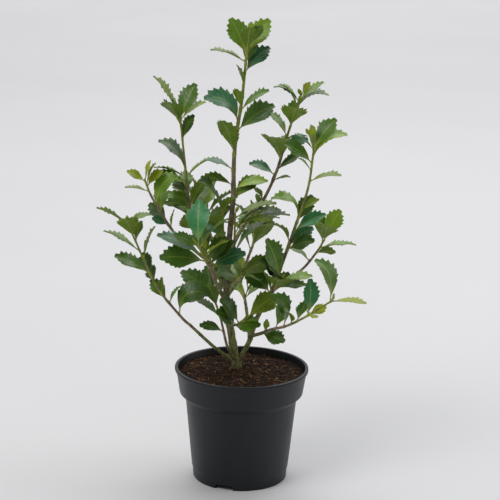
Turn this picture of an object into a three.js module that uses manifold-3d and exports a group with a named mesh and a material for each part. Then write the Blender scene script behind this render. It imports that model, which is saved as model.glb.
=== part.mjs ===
// A young holly shrub in a black nursery pot.
// Millimetres, +Z up, front towards -Y. The origin is the middle of the pot's flat underside.

import * as THREE from 'three';
import { mergeVertices } from 'three/addons/utils/BufferGeometryUtils.js';
import Module from 'manifold-3d';

const wasm = await Module();
wasm.setup();

// Clear gap between pieces that touch on the real plant
const GAP = 0.3;

// How near two points must be to count as one
const WELD_DISTANCE = 0.0001;

// Pot
const POT_HEIGHT = 146;
const RIM_RADIUS = 85;
const LIP_HEIGHT = 5;
const LIP_OVERHANG = 2;
const LIP_BEVEL = 1;
const RIM_BEVEL = 1.5;
const COLLAR_RADIUS = 78.5;
const COLLAR_FOOT = 113;
const COLLAR_CHAMFER = 7;
const BODY_TOP_RADIUS = 71;
const BODY_FOOT_RADIUS = 62;
const STEP_HEIGHT = 14;
const STEP_DEPTH = 1;
const BASE_RADIUS = 60;
const BASE_BEVEL = 1.5;
const POT_WALL = 2;
const POT_FLOOR = 3;
const POT_SIDES = 40;
const NOTCH_COUNT = 3;
const NOTCH_ANGLE = 251;
const NOTCH_WIDTH = 24;
const NOTCH_DEPTH = 12;
const NOTCH_HEIGHT = 6;

// Soil
const SOIL_TOP = 141;
const SOIL_FLAT_RADIUS = 34;
const SOIL_EDGE_DROP = 2;

// Wood
const GROUND = SOIL_TOP + GAP;
const ROOT_FLARE = 0.25;
const FLARE_HEIGHT = 9;
const LIMB_SIDES = 8;
const TWIG_SIDES = 5;
const LIMB_STEP = 20;
const TWIG_STEP = 20;

// Leaves
const LEAF_LENGTH = 57;
const LEAF_WIDTH = 0.56;
const LEAF_THICKNESS = 1.3;
const PETIOLE_WIDTH = 1.9;
const LEAF_FOLD = 20;
const LEAF_ROLL = 52;
const LEAF_PATH_STEPS = 24;
const LEAF_BEND_RISE = 1.3;
// Stations from root to tip: share of the leaf's length, share of its half width.
// The width rises to blunt teeth on each side, and closes at the pointed tip.
const LEAF_OUTLINE = [
  [0, 0], [0.13, 0], [0.34, 0.75], [0.56, 1], [0.75, 0.82], [0.79, 0.6], [1, 0],
];

// Leaf habits: how far a leaf leans from its stem in degrees, how far it arches over (1 brings its
// tip below the level), and its size as a share of the full length. A leaf stands on an axis that
// UPTURN bends from the stem towards the vertical.
const HABITS = {
  young: { lean: 18, arch: 0.2, size: 0.56 },
  upright: { lean: 22, arch: 0.35, size: 0.88 },
  spreading: { lean: 40, arch: 0.5, size: 0.86 },
  arching: { lean: 18, arch: 0.75, size: 1.02 },
  drooping: { lean: 20, arch: 1.15, size: 1 },
  level: { lean: 56, arch: 0.85, size: 0.9 },
};
const ARCH_FALL = 0.3;
const UPTURN = 0.5;
const LEAN_SPREAD = 5;
const ARCH_SPREAD = 0.15;
const SIZE_SPREAD = 0.06;

// Clearance: a leaf is tested at spots on its blade against the wood and the leaves before it
const SPOTS_ALONG = 12;
const SPOTS_ACROSS = 3;
const LEAF_CLEARANCE = 3;
const SIBLING_CLEARANCE = 1.4;
const WOOD_CLEARANCE = 2.2;
const FREE_SHARE = 0.34;
const WOOD_SPOT_STEP = 2.5;
// Share of a leaf's length where its blade begins and where it closes, for the spots
const BLADE_FROM = 0.15;
const BLADE_TO = 0.95;
const TURN_TRIES = [0, 14, -14, 28, -28, 42, -42, 60, -60];

const SEED = 417;

// Stems, from the foot to the tip. Each row is one stem: the limb is its bare stretch, up to the
// point numbered by bare, and the foliage carries on from there. A stem that springs from another
// names it under from. Each leaf is [share of the leafy stretch, heading], under its habit, with its
// own size and roll after them where it stands out. Angles are in degrees: heading 0 is right, 90 is
// back, 180 is left and 270 is front.
const STEMS = [
  {
    limb: 'trunk', foliage: 'leader_foliage', foot: 5.5, tip: 1.3, bare: 4,
    points: [[-6, 11, GROUND], [-14, 1, 188], [-21, -3, 232], [-19, 1, 305], [-15, 4, 361],
      [-14, 7, 425], [-6, 4, 490], [-1, 0, 552]],
    leaves: {
      arching: [[0.01, 355, 0.75]],
      drooping: [[0.5, 178, 1.12, -35]],
      level: [[0.07, 0, 0.85, 20], [0.1, 184, 0.78], [0.2, 176, 0.68], [0.9, 182, 0.78, 0]],
      spreading: [[0.45, 25, 0.98, 35], [0.58, 350, 0.8, 20], [0.83, 30, 0.78, 30]],
      upright: [[0.3, 240, 1, 0], [0.6, 240, 0.5, 0], [0.88, 90, 0.7], [0.94, 150, 0.9, -45],
        [0.95, 30, 0.9, 40], [0.97, 275, 0.74, 0], [1, 335, 0.6]],
    },
  },
  {
    limb: 'low_left_bough', foliage: 'low_left_foliage', from: 'trunk', foot: 2.3, tip: 1.1,
    bare: 3,
    points: [[-7, 9, 147], [-35, 4, 169], [-64, 0, 197], [-78, 0, 210], [-107, 0, 246],
      [-124, 5, 279], [-146, 12, 326]],
    leaves: {
      drooping: [[0.03, 355, 1.1, 45]],
      level: [[1, 10, 0.6]],
      spreading: [[0.17, 15, 0.5, 0], [0.4, 100, 0.6], [0.53, 180, 0.85, -30], [0.77, 178, 0.95, 0],
        [0.88, 268, 0.9, 0], [1, 172, 0.75]],
      upright: [[0.2, 160, 0.6, -30], [0.7, 10, 0.74, 0], [0.85, 320, 0.5]],
      young: [[0.28, 285, 0.4]],
    },
  },
  {
    limb: 'right_bough', foliage: 'right_high_foliage', from: 'trunk', foot: 3.6, tip: 1.2,
    bare: 4,
    points: [[-5, 10, 147], [9, 8, 177], [18, 12, 206], [36, 20, 240], [50, 15, 283],
      [64, -2, 333], [77, -20, 384], [82, -30, 433]],
    leaves: {
      drooping: [[0.16, 176, 0.88], [0.41, 180, 0.86], [0.93, 5, 0.95, 8]],
      level: [[0.72, 355, 0.72, 0]],
      spreading: [[0.1, 325, 0.8], [0.13, 25, 0.75, 30], [0.27, 5, 0.85, 20], [0.46, 350, 0.5, 20],
        [0.82, 190, 0.4], [0.88, 165, 0.75, -35], [1, 195, 0.6]],
      upright: [[0.35, 100, 0.7], [0.96, 100, 0.7], [1, 70, 0.8, 25]],
      young: [[0.3, 240, 0.5]],
    },
  },
  {
    limb: 'left_stem', foliage: 'left_stem_foliage', from: 'trunk', foot: 2, tip: 1.1, bare: 2,
    points: [[-8, 7, 150], [-18, -6, 172], [-23, -10, 192], [-29, -5, 215], [-38, 6, 236]],
    leaves: {
      level: [[0.05, 182, 0.6, -35]],
      spreading: [[0.42, 172, 0.8], [0.8, 30, 0.8], [1, 182, 0.95, -35]],
      upright: [[1, 110, 0.8]],
      young: [[0.7, 265]],
    },
  },
  {
    limb: 'front_bough', foliage: 'front_foliage', from: 'trunk', foot: 3, tip: 1.2, bare: 2,
    points: [[-21, -3, 232], [-31, -25, 256], [-40, -44, 284], [-48, -56, 302], [-55, -68, 320]],
    leaves: {
      level: [[0.02, 5, 0.9], [0.33, 188, 1.05, -38]],
      upright: [[0.98, 76, 0.98, 0]],
      spreading: [[0.12, 15, 0.8, 20], [0.25, 40, 0.7], [0.4, 90, 0.8], [0.5, 350, 0.7],
        [0.58, 176, 1.1, 0], [0.9, 15, 0.95], [0.92, 172, 0.65, -20]],
    },
  },
  {
    limb: 'left_bough', foliage: 'left_top_foliage', from: 'trunk', foot: 2.9, tip: 1.2, bare: 1,
    points: [[-20, -1, 245], [-48, 22, 288], [-70, 40, 345], [-76, 46, 390], [-83, 45, 454]],
    leaves: {
      arching: [[0.08, 10], [0.2, 150], [0.67, 178, 0.88, -20]],
      level: [[0.31, 188, 0.72], [0.6, 182, 0.75]],
      upright: [[0.32, 12, 0.7], [0.87, 8, 0.64, 40], [1, 170, 1.08, 4], [0.96, 215, 0.78, -20],
        [1, 35, 0.84, 30]],
      spreading: [[0.02, 100], [0.14, 250], [0.26, 40], [0.4, 215, 0.45], [0.46, 95, 0.6],
        [0.61, 0, 0.76, 0], [0.98, 265, 0.95, 0], [1, 325, 0.68, 10]],
    },
  },
  {
    limb: 'left_side_bough', foliage: 'left_high_foliage', from: 'left_bough', foot: 2, tip: 1.1,
    bare: 1,
    points: [[-40, 15, 275], [-84, -22, 322], [-103, -40, 356], [-114, -45, 376], [-121, -46, 394]],
    leaves: {
      arching: [[0.45, 5, 0.85]],
      level: [[0.75, 182, 0.55, 0]],
      spreading: [[0.12, 190, 0.42, -40], [0.3, 80, 0.6], [0.97, 190, 0.48, -40]],
      upright: [[0.9, 345, 0.54, 20], [0.98, 105, 0.5, 0]],
      young: [[0.08, 320, 0.45], [0.45, 250, 0.4], [1, 30, 0.45]],
    },
  },
  {
    limb: 'right_top_bough', foliage: 'right_top_foliage', from: 'trunk', foot: 2.8, tip: 1.2,
    bare: 1,
    points: [[-19, 1, 295], [0, 32, 324], [23, 56, 350], [40, 65, 388], [53, 58, 438],
      [65, 50, 479]],
    leaves: {
      drooping: [[0.95, 172, 0.82, 0], [0.94, 2, 0.86, 0]],
      level: [[0.06, 350, 0.85], [0.42, 10, 0.4], [0.46, 184, 0.7, -30], [0.71, 340, 0.5]],
      spreading: [[0.17, 250, 0.45], [0.25, 200, 0.4], [0.5, 355, 0.64, 30], [0.55, 88],
        [0.58, 248, 1.25, 0], [0.72, 150, 0.7, 0], [0.79, 270, 1.1, 0], [1, 195, 0.56, 0],
        [1, 20, 0.7, 0]],
      upright: [[0.8, 92, 0.6]],
      young: [[0.38, 200, 0.4]],
    },
  },
  {
    limb: 'right_side_bough', foliage: 'right_side_foliage', from: 'right_bough', foot: 2, tip: 1.1,
    bare: 1,
    points: [[36, 20, 240], [74, 45, 262], [94, 60, 283], [103, 60, 299]],
    leaves: {
      level: [[0.22, 180, 0.62], [0.45, 325, 0.5], [0.65, 0, 0.85, 0]],
      spreading: [[0.95, 262, 0.95, 0]],
      upright: [[0.87, 130, 0.7], [1, 60, 0.82, 30]],
    },
  },
  {
    limb: 'low_right_bough', foliage: 'low_right_foliage', from: 'right_bough', foot: 2.4, tip: 1.1,
    bare: 1,
    points: [[11, 8, 184], [22, -8, 192], [36, -28, 204], [56, -42, 214], [79, -50, 229],
      [108, -55, 250]],
    leaves: {
      arching: [[0.44, 172, 0.9], [0.99, 165, 1, -20]],
      level: [[0.04, 320, 0.66, 40], [0.78, 265, 0.6, 0], [1, 355, 0.76, 0]],
      spreading: [[0.32, 100, 0.7], [0.55, 175, 0.62, 0], [0.62, 90, 0.6], [0.77, 330, 0.42]],
      upright: [[0.76, 150, 0.8, -30]],
    },
  },
  {
    limb: 'back_left_bough', foliage: 'back_left_foliage', from: 'trunk', foot: 2.6, tip: 1.2,
    bare: 2,
    points: [[-21, -2, 255], [-34, 42, 280], [-44, 74, 300], [-50, 100, 315], [-54, 120, 329]],
    leaves: {
      arching: [[0.06, 150], [0.34, 250], [0.7, 200]],
      spreading: [[0.2, 30], [0.48, 110], [0.6, 350]],
      upright: [[0.82, 75], [0.97, 160], [1, 48]],
      young: [[0.92, 300]],
    },
  },
  {
    limb: 'back_right_bough', foliage: 'back_right_foliage', from: 'trunk', foot: 2.6, tip: 1.2,
    bare: 2,
    points: [[-21, -3, 238], [-2, 42, 256], [6, 75, 271], [12, 102, 282], [12, 124, 292]],
    leaves: {
      arching: [[0.2, 180], [0.6, 215], [0.72, 350]],
      spreading: [[0.34, 300]],
      upright: [[0.84, 120], [0.97, 20]],
      young: [[0.93, 240]],
    },
  },
  {
    limb: 'back_low_bough', foliage: 'back_low_foliage', from: 'right_bough', foot: 2.4, tip: 1.1,
    bare: 1,
    points: [[10, 9, 181], [4, 60, 208], [0, 92, 220], [-6, 116, 231]],
    leaves: {
      arching: [[0.08, 190], [0.54, 250]],
      spreading: [[0.22, 20], [0.38, 120], [0.82, 170]],
      upright: [[0.68, 110], [1, 90]],
      young: [[0.93, 320]],
    },
  },
  {
    foliage: 'trunk_right_spray', from: 'trunk', foot: 1.6, tip: 1.1, bare: 0,
    points: [[-19, 1, 283], [-13, -3, 293], [-12, -3, 345]],
    leaves: {
      arching: [[0.5, 355, 1.1, 5], [0.77, 355, 0.95, 0]],
      level: [[0.86, 350, 1.25, -5], [0.95, 355, 1.05, 5]],
    },
  },
  {
    foliage: 'trunk_left_spray', from: 'trunk', foot: 1.6, tip: 1.1, bare: 0,
    points: [[-19, 1, 300], [-25.5, -3, 314], [-27, -4, 350]],
    leaves: {
      arching: [[0.4, 172, 1.02, -30], [0.92, 165, 1.15, -35]],
      spreading: [[0.3, 255, 0.8], [0.6, 225], [1, 255, 0.7]],
      upright: [[1, 120]],
    },
  },
  {
    foliage: 'low_spray', from: 'trunk', foot: 1.5, tip: 1, bare: 0,
    points: [[-16, 0, 199], [-7, -16, 206], [5, -22, 216]],
    leaves: {
      level: [[0.86, 60]],
      spreading: [[0.15, 300, 0.85, 25], [0.6, 190, 0.8, -30], [1, 10, 0.9, 20]],
      young: [[0.6, 320, 0.4]],
    },
  },
  {
    foliage: 'inner_spray', from: 'trunk', foot: 1.5, tip: 1, bare: 0,
    points: [[-20, -1, 252], [-12, -9, 262], [-4, -14, 270]],
    leaves: {
      level: [[0.7, 210, 0.8], [0.95, 300, 0.75]],
      spreading: [[0.9, 25, 0.8, 30]],
    },
  },
  {
    foliage: 'right_bough_spray', from: 'right_bough', foot: 1.8, tip: 1.1, bare: 0,
    points: [[34, 20, 236], [39, 4, 246], [46, -4, 262]],
    leaves: {
      arching: [[0.2, 175, 1]],
      level: [[0.6, 355, 0.75], [0.85, 10, 0.75, 0]],
      spreading: [[0.08, 195, 0.9, -30], [0.35, 350, 0.6], [0.55, 240, 1, 0], [0.8, 275, 0.8, 0],
        [0.95, 212, 0.8, -20]],
      upright: [[1, 160, 1, -40]],
    },
  },
];

const LOOKS = {
  pot: { color: 0x2a2d31, roughness: 0.5 },
  soil: { color: 0x3b2a1e, roughness: 0.95 },
  bark: { color: 0x6b6350, roughness: 0.85 },
  leaf: { color: 0x2c5e34, roughness: 0.45 },
};

const degrees = Math.PI / 180;
const up = new THREE.Vector3(0, 0, 1);

// Seeded numbers between 0 and 1, the same on every run
let seedState = SEED;
function chance() {
  seedState = (seedState * 1664525 + 1013904223) % 4294967296;
  return seedState / 4294967296;
}

function between(low, high) {
  return low + (high - low) * chance();
}

function mix(a, b, share) {
  return a + (b - a) * share;
}

// A closed geometry as a solid for joining and cutting
function solid(geometry) {
  geometry.deleteAttribute('normal');
  geometry.deleteAttribute('uv');
  const merged = mergeVertices(geometry, WELD_DISTANCE);
  const index = Array.from(merged.index.array);
  const triangles = [];
  for (let i = 0; i < index.length; i += 3) {
    const [a, b, c] = index.slice(i, i + 3);
    if (a !== b && b !== c && c !== a) {
      triangles.push(a, b, c);
    }
  }
  return new wasm.Manifold(new wasm.Mesh({
    numProp: 3,
    vertProperties: new Float32Array(merged.attributes.position.array),
    triVerts: new Uint32Array(triangles),
  }));
}

function meshOf(name, body, look) {
  const { vertProperties, triVerts } = body.getMesh();
  const geometry = new THREE.BufferGeometry();
  geometry.setAttribute('position', new THREE.BufferAttribute(new Float32Array(vertProperties), 3));
  geometry.setIndex(new THREE.BufferAttribute(new Uint32Array(triVerts), 1));
  geometry.computeVertexNormals();
  const mesh = new THREE.Mesh(geometry, new THREE.MeshStandardMaterial(look));
  mesh.name = name;
  return mesh;
}

// A shape turned round the Z axis, from [radius, height] pairs that start and end on the axis
function turned(profile) {
  const points = profile.map(([radius, height]) => new THREE.Vector2(radius, height));
  return new THREE.LatheGeometry(points, POT_SIDES).rotateX(Math.PI / 2);
}

// Radius of the pot's outside at a height, below the collar
function bodyRadius(height) {
  const share = (height - STEP_HEIGHT) / (COLLAR_FOOT - COLLAR_CHAMFER - STEP_HEIGHT);
  return mix(BODY_FOOT_RADIUS, BODY_TOP_RADIUS, share);
}

// The inside of the pot from the floor to the rim, moved inwards by inset
function insideProfile(inset) {
  const chamferFoot = COLLAR_FOOT - COLLAR_CHAMFER;
  return [
    [BASE_RADIUS - POT_WALL - inset, POT_FLOOR + inset],
    [bodyRadius(STEP_HEIGHT) - POT_WALL - inset, STEP_HEIGHT],
    [bodyRadius(chamferFoot) - POT_WALL - inset, chamferFoot + POT_WALL / 2],
    [COLLAR_RADIUS - POT_WALL - inset, COLLAR_FOOT + POT_WALL / 2],
  ];
}

function potSolid() {
  const lipFoot = POT_HEIGHT - LIP_HEIGHT;
  const wallTop = RIM_RADIUS - LIP_OVERHANG;
  const outside = [
    [0, 0],
    [BASE_RADIUS - BASE_BEVEL, 0],
    [BASE_RADIUS, BASE_BEVEL],
    [BODY_FOOT_RADIUS - STEP_DEPTH, STEP_HEIGHT - STEP_DEPTH / 2],
    [BODY_FOOT_RADIUS, STEP_HEIGHT + STEP_DEPTH / 2],
    [BODY_TOP_RADIUS, COLLAR_FOOT - COLLAR_CHAMFER],
    [COLLAR_RADIUS, COLLAR_FOOT],
    [wallTop, lipFoot],
    [RIM_RADIUS, lipFoot + LIP_BEVEL],
    [RIM_RADIUS, POT_HEIGHT - RIM_BEVEL],
    [RIM_RADIUS - RIM_BEVEL, POT_HEIGHT],
    [wallTop - POT_WALL + LIP_BEVEL / 2, POT_HEIGHT],
    [wallTop - POT_WALL, POT_HEIGHT - LIP_BEVEL],
  ];
  const inside = insideProfile(0).reverse();
  const body = solid(turned([...outside, ...inside, [0, POT_FLOOR]]));
  const notches = new THREE.BoxGeometry(NOTCH_DEPTH * 2, NOTCH_WIDTH, NOTCH_HEIGHT * 2);
  notches.translate(BASE_RADIUS, 0, 0);
  let cut = body;
  for (let i = 0; i < NOTCH_COUNT; i += 1) {
    const angle = (NOTCH_ANGLE + (360 / NOTCH_COUNT) * i) * degrees;
    cut = cut.subtract(solid(notches.clone().rotateZ(angle)));
  }
  return cut;
}

function soilSolid() {
  const wall = insideProfile(GAP);
  const edge = SOIL_TOP - SOIL_EDGE_DROP;
  const share = (edge - COLLAR_FOOT) / (POT_HEIGHT - COLLAR_FOOT);
  const edgeRadius = mix(COLLAR_RADIUS, RIM_RADIUS - LIP_OVERHANG, share) - POT_WALL - GAP;
  return solid(turned([
    [0, POT_FLOOR + GAP],
    ...wall,
    [edgeRadius, edge],
    [SOIL_FLAT_RADIUS, SOIL_TOP],
    [0, SOIL_TOP],
  ]));
}

// The centre line of a stem, from its foot to its tip
function stemLine(stem) {
  const points = stem.points.map((point) => new THREE.Vector3(...point));
  return new THREE.CatmullRomCurve3(points, false, 'catmullrom', 0.5);
}

function bareShare(stem) {
  return stem.bare / (stem.points.length - 1);
}

function stemRadius(stem, share, height) {
  const flare = stem.from ? 0 : ROOT_FLARE * Math.exp((GROUND - height) / FLARE_HEIGHT);
  return mix(stem.foot, stem.tip, share) * (1 + flare);
}

// A round tapering limb along the stem between two shares of its line
function limbSolid(stem, start, end, sides, step, extra) {
  const line = stemLine(stem);
  const steps = Math.max(2, Math.round((line.getLength() * (end - start)) / step));
  const geometry = new THREE.CylinderGeometry(1, 1, 1, sides, steps);
  const rings = [];
  let side = new THREE.Vector3(1, 0, 0);
  for (let i = 0; i <= steps; i += 1) {
    const share = mix(start, end, i / steps);
    const centre = line.getPoint(share);
    const rooted = share === 0 && !stem.from;
    const along = rooted ? up.clone() : line.getTangent(share);
    side = side.clone().addScaledVector(along, -side.dot(along)).normalize();
    const across = side.clone().cross(along);
    rings.push({ centre, side, across, radius: stemRadius(stem, share, centre.z) + extra });
  }
  const position = geometry.attributes.position;
  for (let i = 0; i < position.count; i += 1) {
    const ring = rings[Math.round((position.getY(i) + 0.5) * steps)];
    const point = ring.centre.clone();
    point.addScaledVector(ring.side, position.getX(i) * ring.radius);
    point.addScaledVector(ring.across, position.getZ(i) * ring.radius);
    position.setXYZ(i, point.x, point.y, point.z);
  }
  return solid(geometry);
}

// Where a leaf starts, and the way its midrib runs as it arches outwards
function growLeaf(stem, habit, place, turn) {
  const [at, heading, size = habit.size, ownRoll] = place;
  const line = stemLine(stem);
  const share = mix(bareShare(stem), 1, at);
  const lean = (habit.lean + between(-LEAN_SPREAD, LEAN_SPREAD)) * degrees;
  const arch = habit.arch * between(1 - ARCH_SPREAD, 1 + ARCH_SPREAD);
  const length = LEAF_LENGTH * size * between(1 - SIZE_SPREAD, 1 + SIZE_SPREAD);
  const seededRoll = between(-LEAF_ROLL, LEAF_ROLL);
  const roll = (ownRoll ?? seededRoll) * degrees;
  const stemWay = line.getTangent(share);
  const axis = stemWay.clone().lerp(up, UPTURN).normalize();
  const flat = new THREE.Vector3(1, 0, 0).applyAxisAngle(up, (heading + turn) * degrees);
  const out = flat.clone().addScaledVector(axis, -flat.dot(axis)).normalize();
  const first = axis.clone().multiplyScalar(Math.cos(lean)).addScaledVector(out, Math.sin(lean));
  const last = flat.clone().setZ(-ARCH_FALL).normalize();
  const points = [line.getPoint(share)];
  const ways = [];
  for (let i = 0; i < LEAF_PATH_STEPS; i += 1) {
    const bend = arch * (i / LEAF_PATH_STEPS) ** LEAF_BEND_RISE;
    const way = first.clone().lerp(last, Math.min(bend, 1)).normalize();
    ways.push(way);
    points.push(points[i].clone().addScaledVector(way, length / LEAF_PATH_STEPS));
  }
  return { stem, points, ways, face: axis, roll, length, halfWidth: (length * LEAF_WIDTH) / 2 };
}

// The leaf's cross-section at a share of its length: middle, side and upper face
function leafSection(leaf, share) {
  const place = share * LEAF_PATH_STEPS;
  const i = Math.min(Math.floor(place), LEAF_PATH_STEPS - 1);
  const middle = leaf.points[i].clone().lerp(leaf.points[i + 1], place - i);
  const way = leaf.ways[i];
  const face = leaf.face.clone().addScaledVector(way, -leaf.face.dot(way)).normalize();
  face.applyAxisAngle(way, leaf.roll);
  return { middle, face, side: way.clone().cross(face) };
}

// A point of the blade across the fold: across runs from -1 at the left edge to 1 at the right
function bladePoint(section, across, halfWidth) {
  const fold = LEAF_FOLD * degrees;
  const point = section.middle.clone();
  point.addScaledVector(section.side, across * halfWidth * Math.cos(fold));
  return point.addScaledVector(section.face, Math.abs(across) * halfWidth * Math.sin(fold));
}

function outlineWidth(leaf, widthShare) {
  return Math.max(PETIOLE_WIDTH / 2, leaf.halfWidth * widthShare);
}

// A folded blade with blunt teeth, on its petiole
function leafSolid(leaf) {
  const vertices = [];
  const triangles = [];
  LEAF_OUTLINE.slice(0, -1).forEach(([share, widthShare]) => {
    const section = leafSection(leaf, share);
    const width = outlineWidth(leaf, widthShare);
    const top = section.middle.clone().addScaledVector(section.face, LEAF_THICKNESS / 2);
    const under = section.middle.clone().addScaledVector(section.face, -LEAF_THICKNESS / 2);
    vertices.push(bladePoint(section, -1, width), top, bladePoint(section, 1, width), under);
  });
  const rings = vertices.length / 4;
  const tip = vertices.length;
  vertices.push(leaf.points[LEAF_PATH_STEPS]);
  triangles.push(0, 2, 1, 0, 3, 2);
  for (let ring = 0; ring < rings; ring += 1) {
    for (let j = 0; j < 4; j += 1) {
      const a = ring * 4 + j;
      const b = ring * 4 + ((j + 1) % 4);
      if (ring === rings - 1) {
        triangles.push(a, b, tip);
      } else {
        triangles.push(a, b, b + 4, a, b + 4, a + 4);
      }
    }
  }
  return new wasm.Manifold(new wasm.Mesh({
    numProp: 3,
    vertProperties: new Float32Array(vertices.flatMap((vertex) => vertex.toArray())),
    triVerts: new Uint32Array(triangles),
  }));
}

// Spots on a blade for the clearance test, each with its share of the leaf's length
function leafSpots(leaf) {
  const spots = [];
  for (let i = 1; i <= SPOTS_ALONG; i += 1) {
    const share = i / SPOTS_ALONG;
    const section = leafSection(leaf, share);
    const onBlade = share > BLADE_FROM && share < BLADE_TO;
    const width = onBlade ? leaf.halfWidth * Math.sin(Math.PI * share) : 0;
    for (let j = -SPOTS_ACROSS; j <= SPOTS_ACROSS; j += 1) {
      spots.push({ stem: leaf.stem, share, point: bladePoint(section, j / SPOTS_ACROSS, width) });
    }
  }
  return spots;
}

function woodSpots(stem) {
  const line = stemLine(stem);
  const count = Math.ceil(line.getLength() / WOOD_SPOT_STEP);
  const spots = [];
  for (let i = 0; i <= count; i += 1) {
    const point = line.getPoint(i / count);
    spots.push({ stem, point, reach: stemRadius(stem, i / count, point.z) + WOOD_CLEARANCE });
  }
  return spots;
}

const wood = STEMS.flatMap(woodSpots);
const grown = [];

// A leaf is clear when no spot of it comes near wood or an earlier leaf, apart from its own root
function isClear(leaf, spots) {
  return spots.every((spot) => {
    const near = spot.share < FREE_SHARE;
    const offWood = wood.every((other) => (near && other.stem === leaf.stem)
      || spot.point.distanceTo(other.point) > other.reach);
    const offLeaves = grown.every((other) => {
      const sibling = other.stem === leaf.stem;
      return (near && sibling && other.share < FREE_SHARE)
        || spot.point.distanceTo(other.point) > (sibling ? SIBLING_CLEARANCE : LEAF_CLEARANCE);
    });
    return offWood && offLeaves;
  });
}

// The leaves of one stem. A leaf that meets something is turned aside, and is left out where no
// turn clears it.
function growLeaves(stem) {
  const leaves = [];
  Object.entries(stem.leaves).forEach(([name, places]) => places.forEach((place) => {
    const stateBefore = seedState;
    for (const turn of TURN_TRIES) {
      seedState = stateBefore;
      const leaf = growLeaf(stem, HABITS[name], place, turn);
      const spots = leafSpots(leaf);
      if (isClear(leaf, spots)) {
        leaves.push(leaf);
        grown.push(...spots);
        break;
      }
    }
  }));
  return leaves;
}

function foliageSolid(stem) {
  const start = bareShare(stem);
  const gapShare = start > 0 ? GAP / stemLine(stem).getLength() : 0;
  const twig = limbSolid(stem, start + gapShare, 1, TWIG_SIDES, TWIG_STEP, 0);
  const leaves = growLeaves(stem).map(leafSolid);
  return leaves.reduce((body, leaf) => body.add(leaf), twig);
}

const group = new THREE.Group();
group.add(meshOf('pot', potSolid(), LOOKS.pot));
group.add(meshOf('soil', soilSolid(), LOOKS.soil));

// Where a stem springs from another, its foot is cut clear of that one's bark
for (const stem of STEMS) {
  const parent = STEMS.find((other) => other.limb === stem.from);
  const bark = parent ? limbSolid(parent, 0, bareShare(parent), LIMB_SIDES, LIMB_STEP, GAP) : null;
  if (stem.limb) {
    const limb = limbSolid(stem, 0, bareShare(stem), LIMB_SIDES, LIMB_STEP, 0);
    group.add(meshOf(stem.limb, bark ? limb.subtract(bark) : limb, LOOKS.bark));
  }
  const foliage = foliageSolid(stem);
  const rooted = bark && !stem.limb;
  group.add(meshOf(stem.foliage, rooted ? foliage.subtract(bark) : foliage, LOOKS.leaf));
}

export default group;
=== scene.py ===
import math
import random

import bmesh
import bpy
import numpy as np
from mathutils import Matrix, Vector, noise


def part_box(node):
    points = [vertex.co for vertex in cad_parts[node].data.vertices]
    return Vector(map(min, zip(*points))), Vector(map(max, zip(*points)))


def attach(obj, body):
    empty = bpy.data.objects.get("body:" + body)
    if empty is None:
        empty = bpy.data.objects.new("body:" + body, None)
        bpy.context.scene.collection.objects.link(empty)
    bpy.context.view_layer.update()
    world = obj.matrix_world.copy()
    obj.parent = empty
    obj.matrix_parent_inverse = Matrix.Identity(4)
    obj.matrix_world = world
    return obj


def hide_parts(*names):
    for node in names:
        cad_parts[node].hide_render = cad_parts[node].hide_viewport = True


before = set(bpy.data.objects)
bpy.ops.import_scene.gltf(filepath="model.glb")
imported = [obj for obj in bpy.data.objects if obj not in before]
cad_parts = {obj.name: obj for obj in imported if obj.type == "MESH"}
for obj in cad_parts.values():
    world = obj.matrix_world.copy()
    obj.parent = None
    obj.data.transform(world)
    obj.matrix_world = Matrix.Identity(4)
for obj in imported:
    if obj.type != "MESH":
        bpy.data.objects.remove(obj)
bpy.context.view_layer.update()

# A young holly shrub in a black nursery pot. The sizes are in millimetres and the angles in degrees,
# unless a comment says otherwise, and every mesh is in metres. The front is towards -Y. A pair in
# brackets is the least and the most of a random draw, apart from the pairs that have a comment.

# Metres in a millimetre, and the gap between pieces that meet
MM = 0.001
GAP = 0.3

# Seeds of the growth and of the fine detail
GROWTH_SEED = 417
DETAIL_SEED = 58

# Doubles closer than this are merged, in metres
WELD = 0.000001
POLE_WELD = 0.000005

# Lengths that differ by less than this are the same, in metres
CLOSE = 0.000001

# A little over a full turn in radians, and the turn from one leaf scar to the next
ANY_TURN = 6.3
SCAR_TURN = 137.5

# Pot
POT_HEIGHT = 146
RIM_RADIUS = 85
LIP_HEIGHT = 5
LIP_OVERHANG = 2
COLLAR_RADIUS = 78.5
COLLAR_FOOT = 113
COLLAR_CHAMFER = 7
BODY_TOP_RADIUS = 71
BODY_FOOT_RADIUS = 62
STEP_HEIGHT = 14
STEP_DEPTH = 1
BASE_RADIUS = 60
POT_WALL = 2
POT_FLOOR = 3
POT_SIDES = 128
NOTCH_COUNT = 3
NOTCH_ANGLE = 251
NOTCH_WIDTH = 24
NOTCH_DEPTH = 12
NOTCH_HEIGHT = 6
NOTCH_ROUND = 3.5
NOTCH_ROUND_STEPS = 5
LIP_SLOPE = 0.8
EDGE_ROUND = 0.9
EDGE_ROUND_STEPS = 3
ROUNDED_OVER = 14
SHARP_OVER = 35

# Soil
SOIL_TOP = 141
SOIL_EDGE_DROP = 2
SOIL_SIDES = 192
SOIL_RINGS = 56
SOIL_DIP = 0.9
SLOPE_FROM = 34
SLOPE_TO = 80
HEAP_HEIGHT = 1.6
HEAP_WIDTH = 10

# The lumps of the soil's top: their width, their layer of the noise and their height
SOIL_LUMPS = ((17, 3.7, 1.5), (5.2, 9.1, 1.7), (2.6, 1.3, 1.1))

# Bark chips and crumbs on the soil. Widths are shares of the length, thicknesses are shares of the
# width, and the tilts are in radians.
CHIP_COUNT = 260
CRUMB_COUNT = 500
LITTER_REACH = 79.5
LITTER_EDGE = 80
CHIP_LENGTH = (2, 7.5)
CHIP_WIDTH = (0.18, 0.5)
CHIP_THICKNESS = (0.2, 0.45)
CRUMB_LENGTH = (0.7, 2.2)
CRUMB_WIDTH = (0.6, 0.9)
CRUMB_THICKNESS = 0.7
LITTER_ROUGH = (0.75, 1.25)
LITTER_PITCH = 0.35
LITTER_ROLL = 0.3
LITTER_LIFT = 0.2

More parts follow.
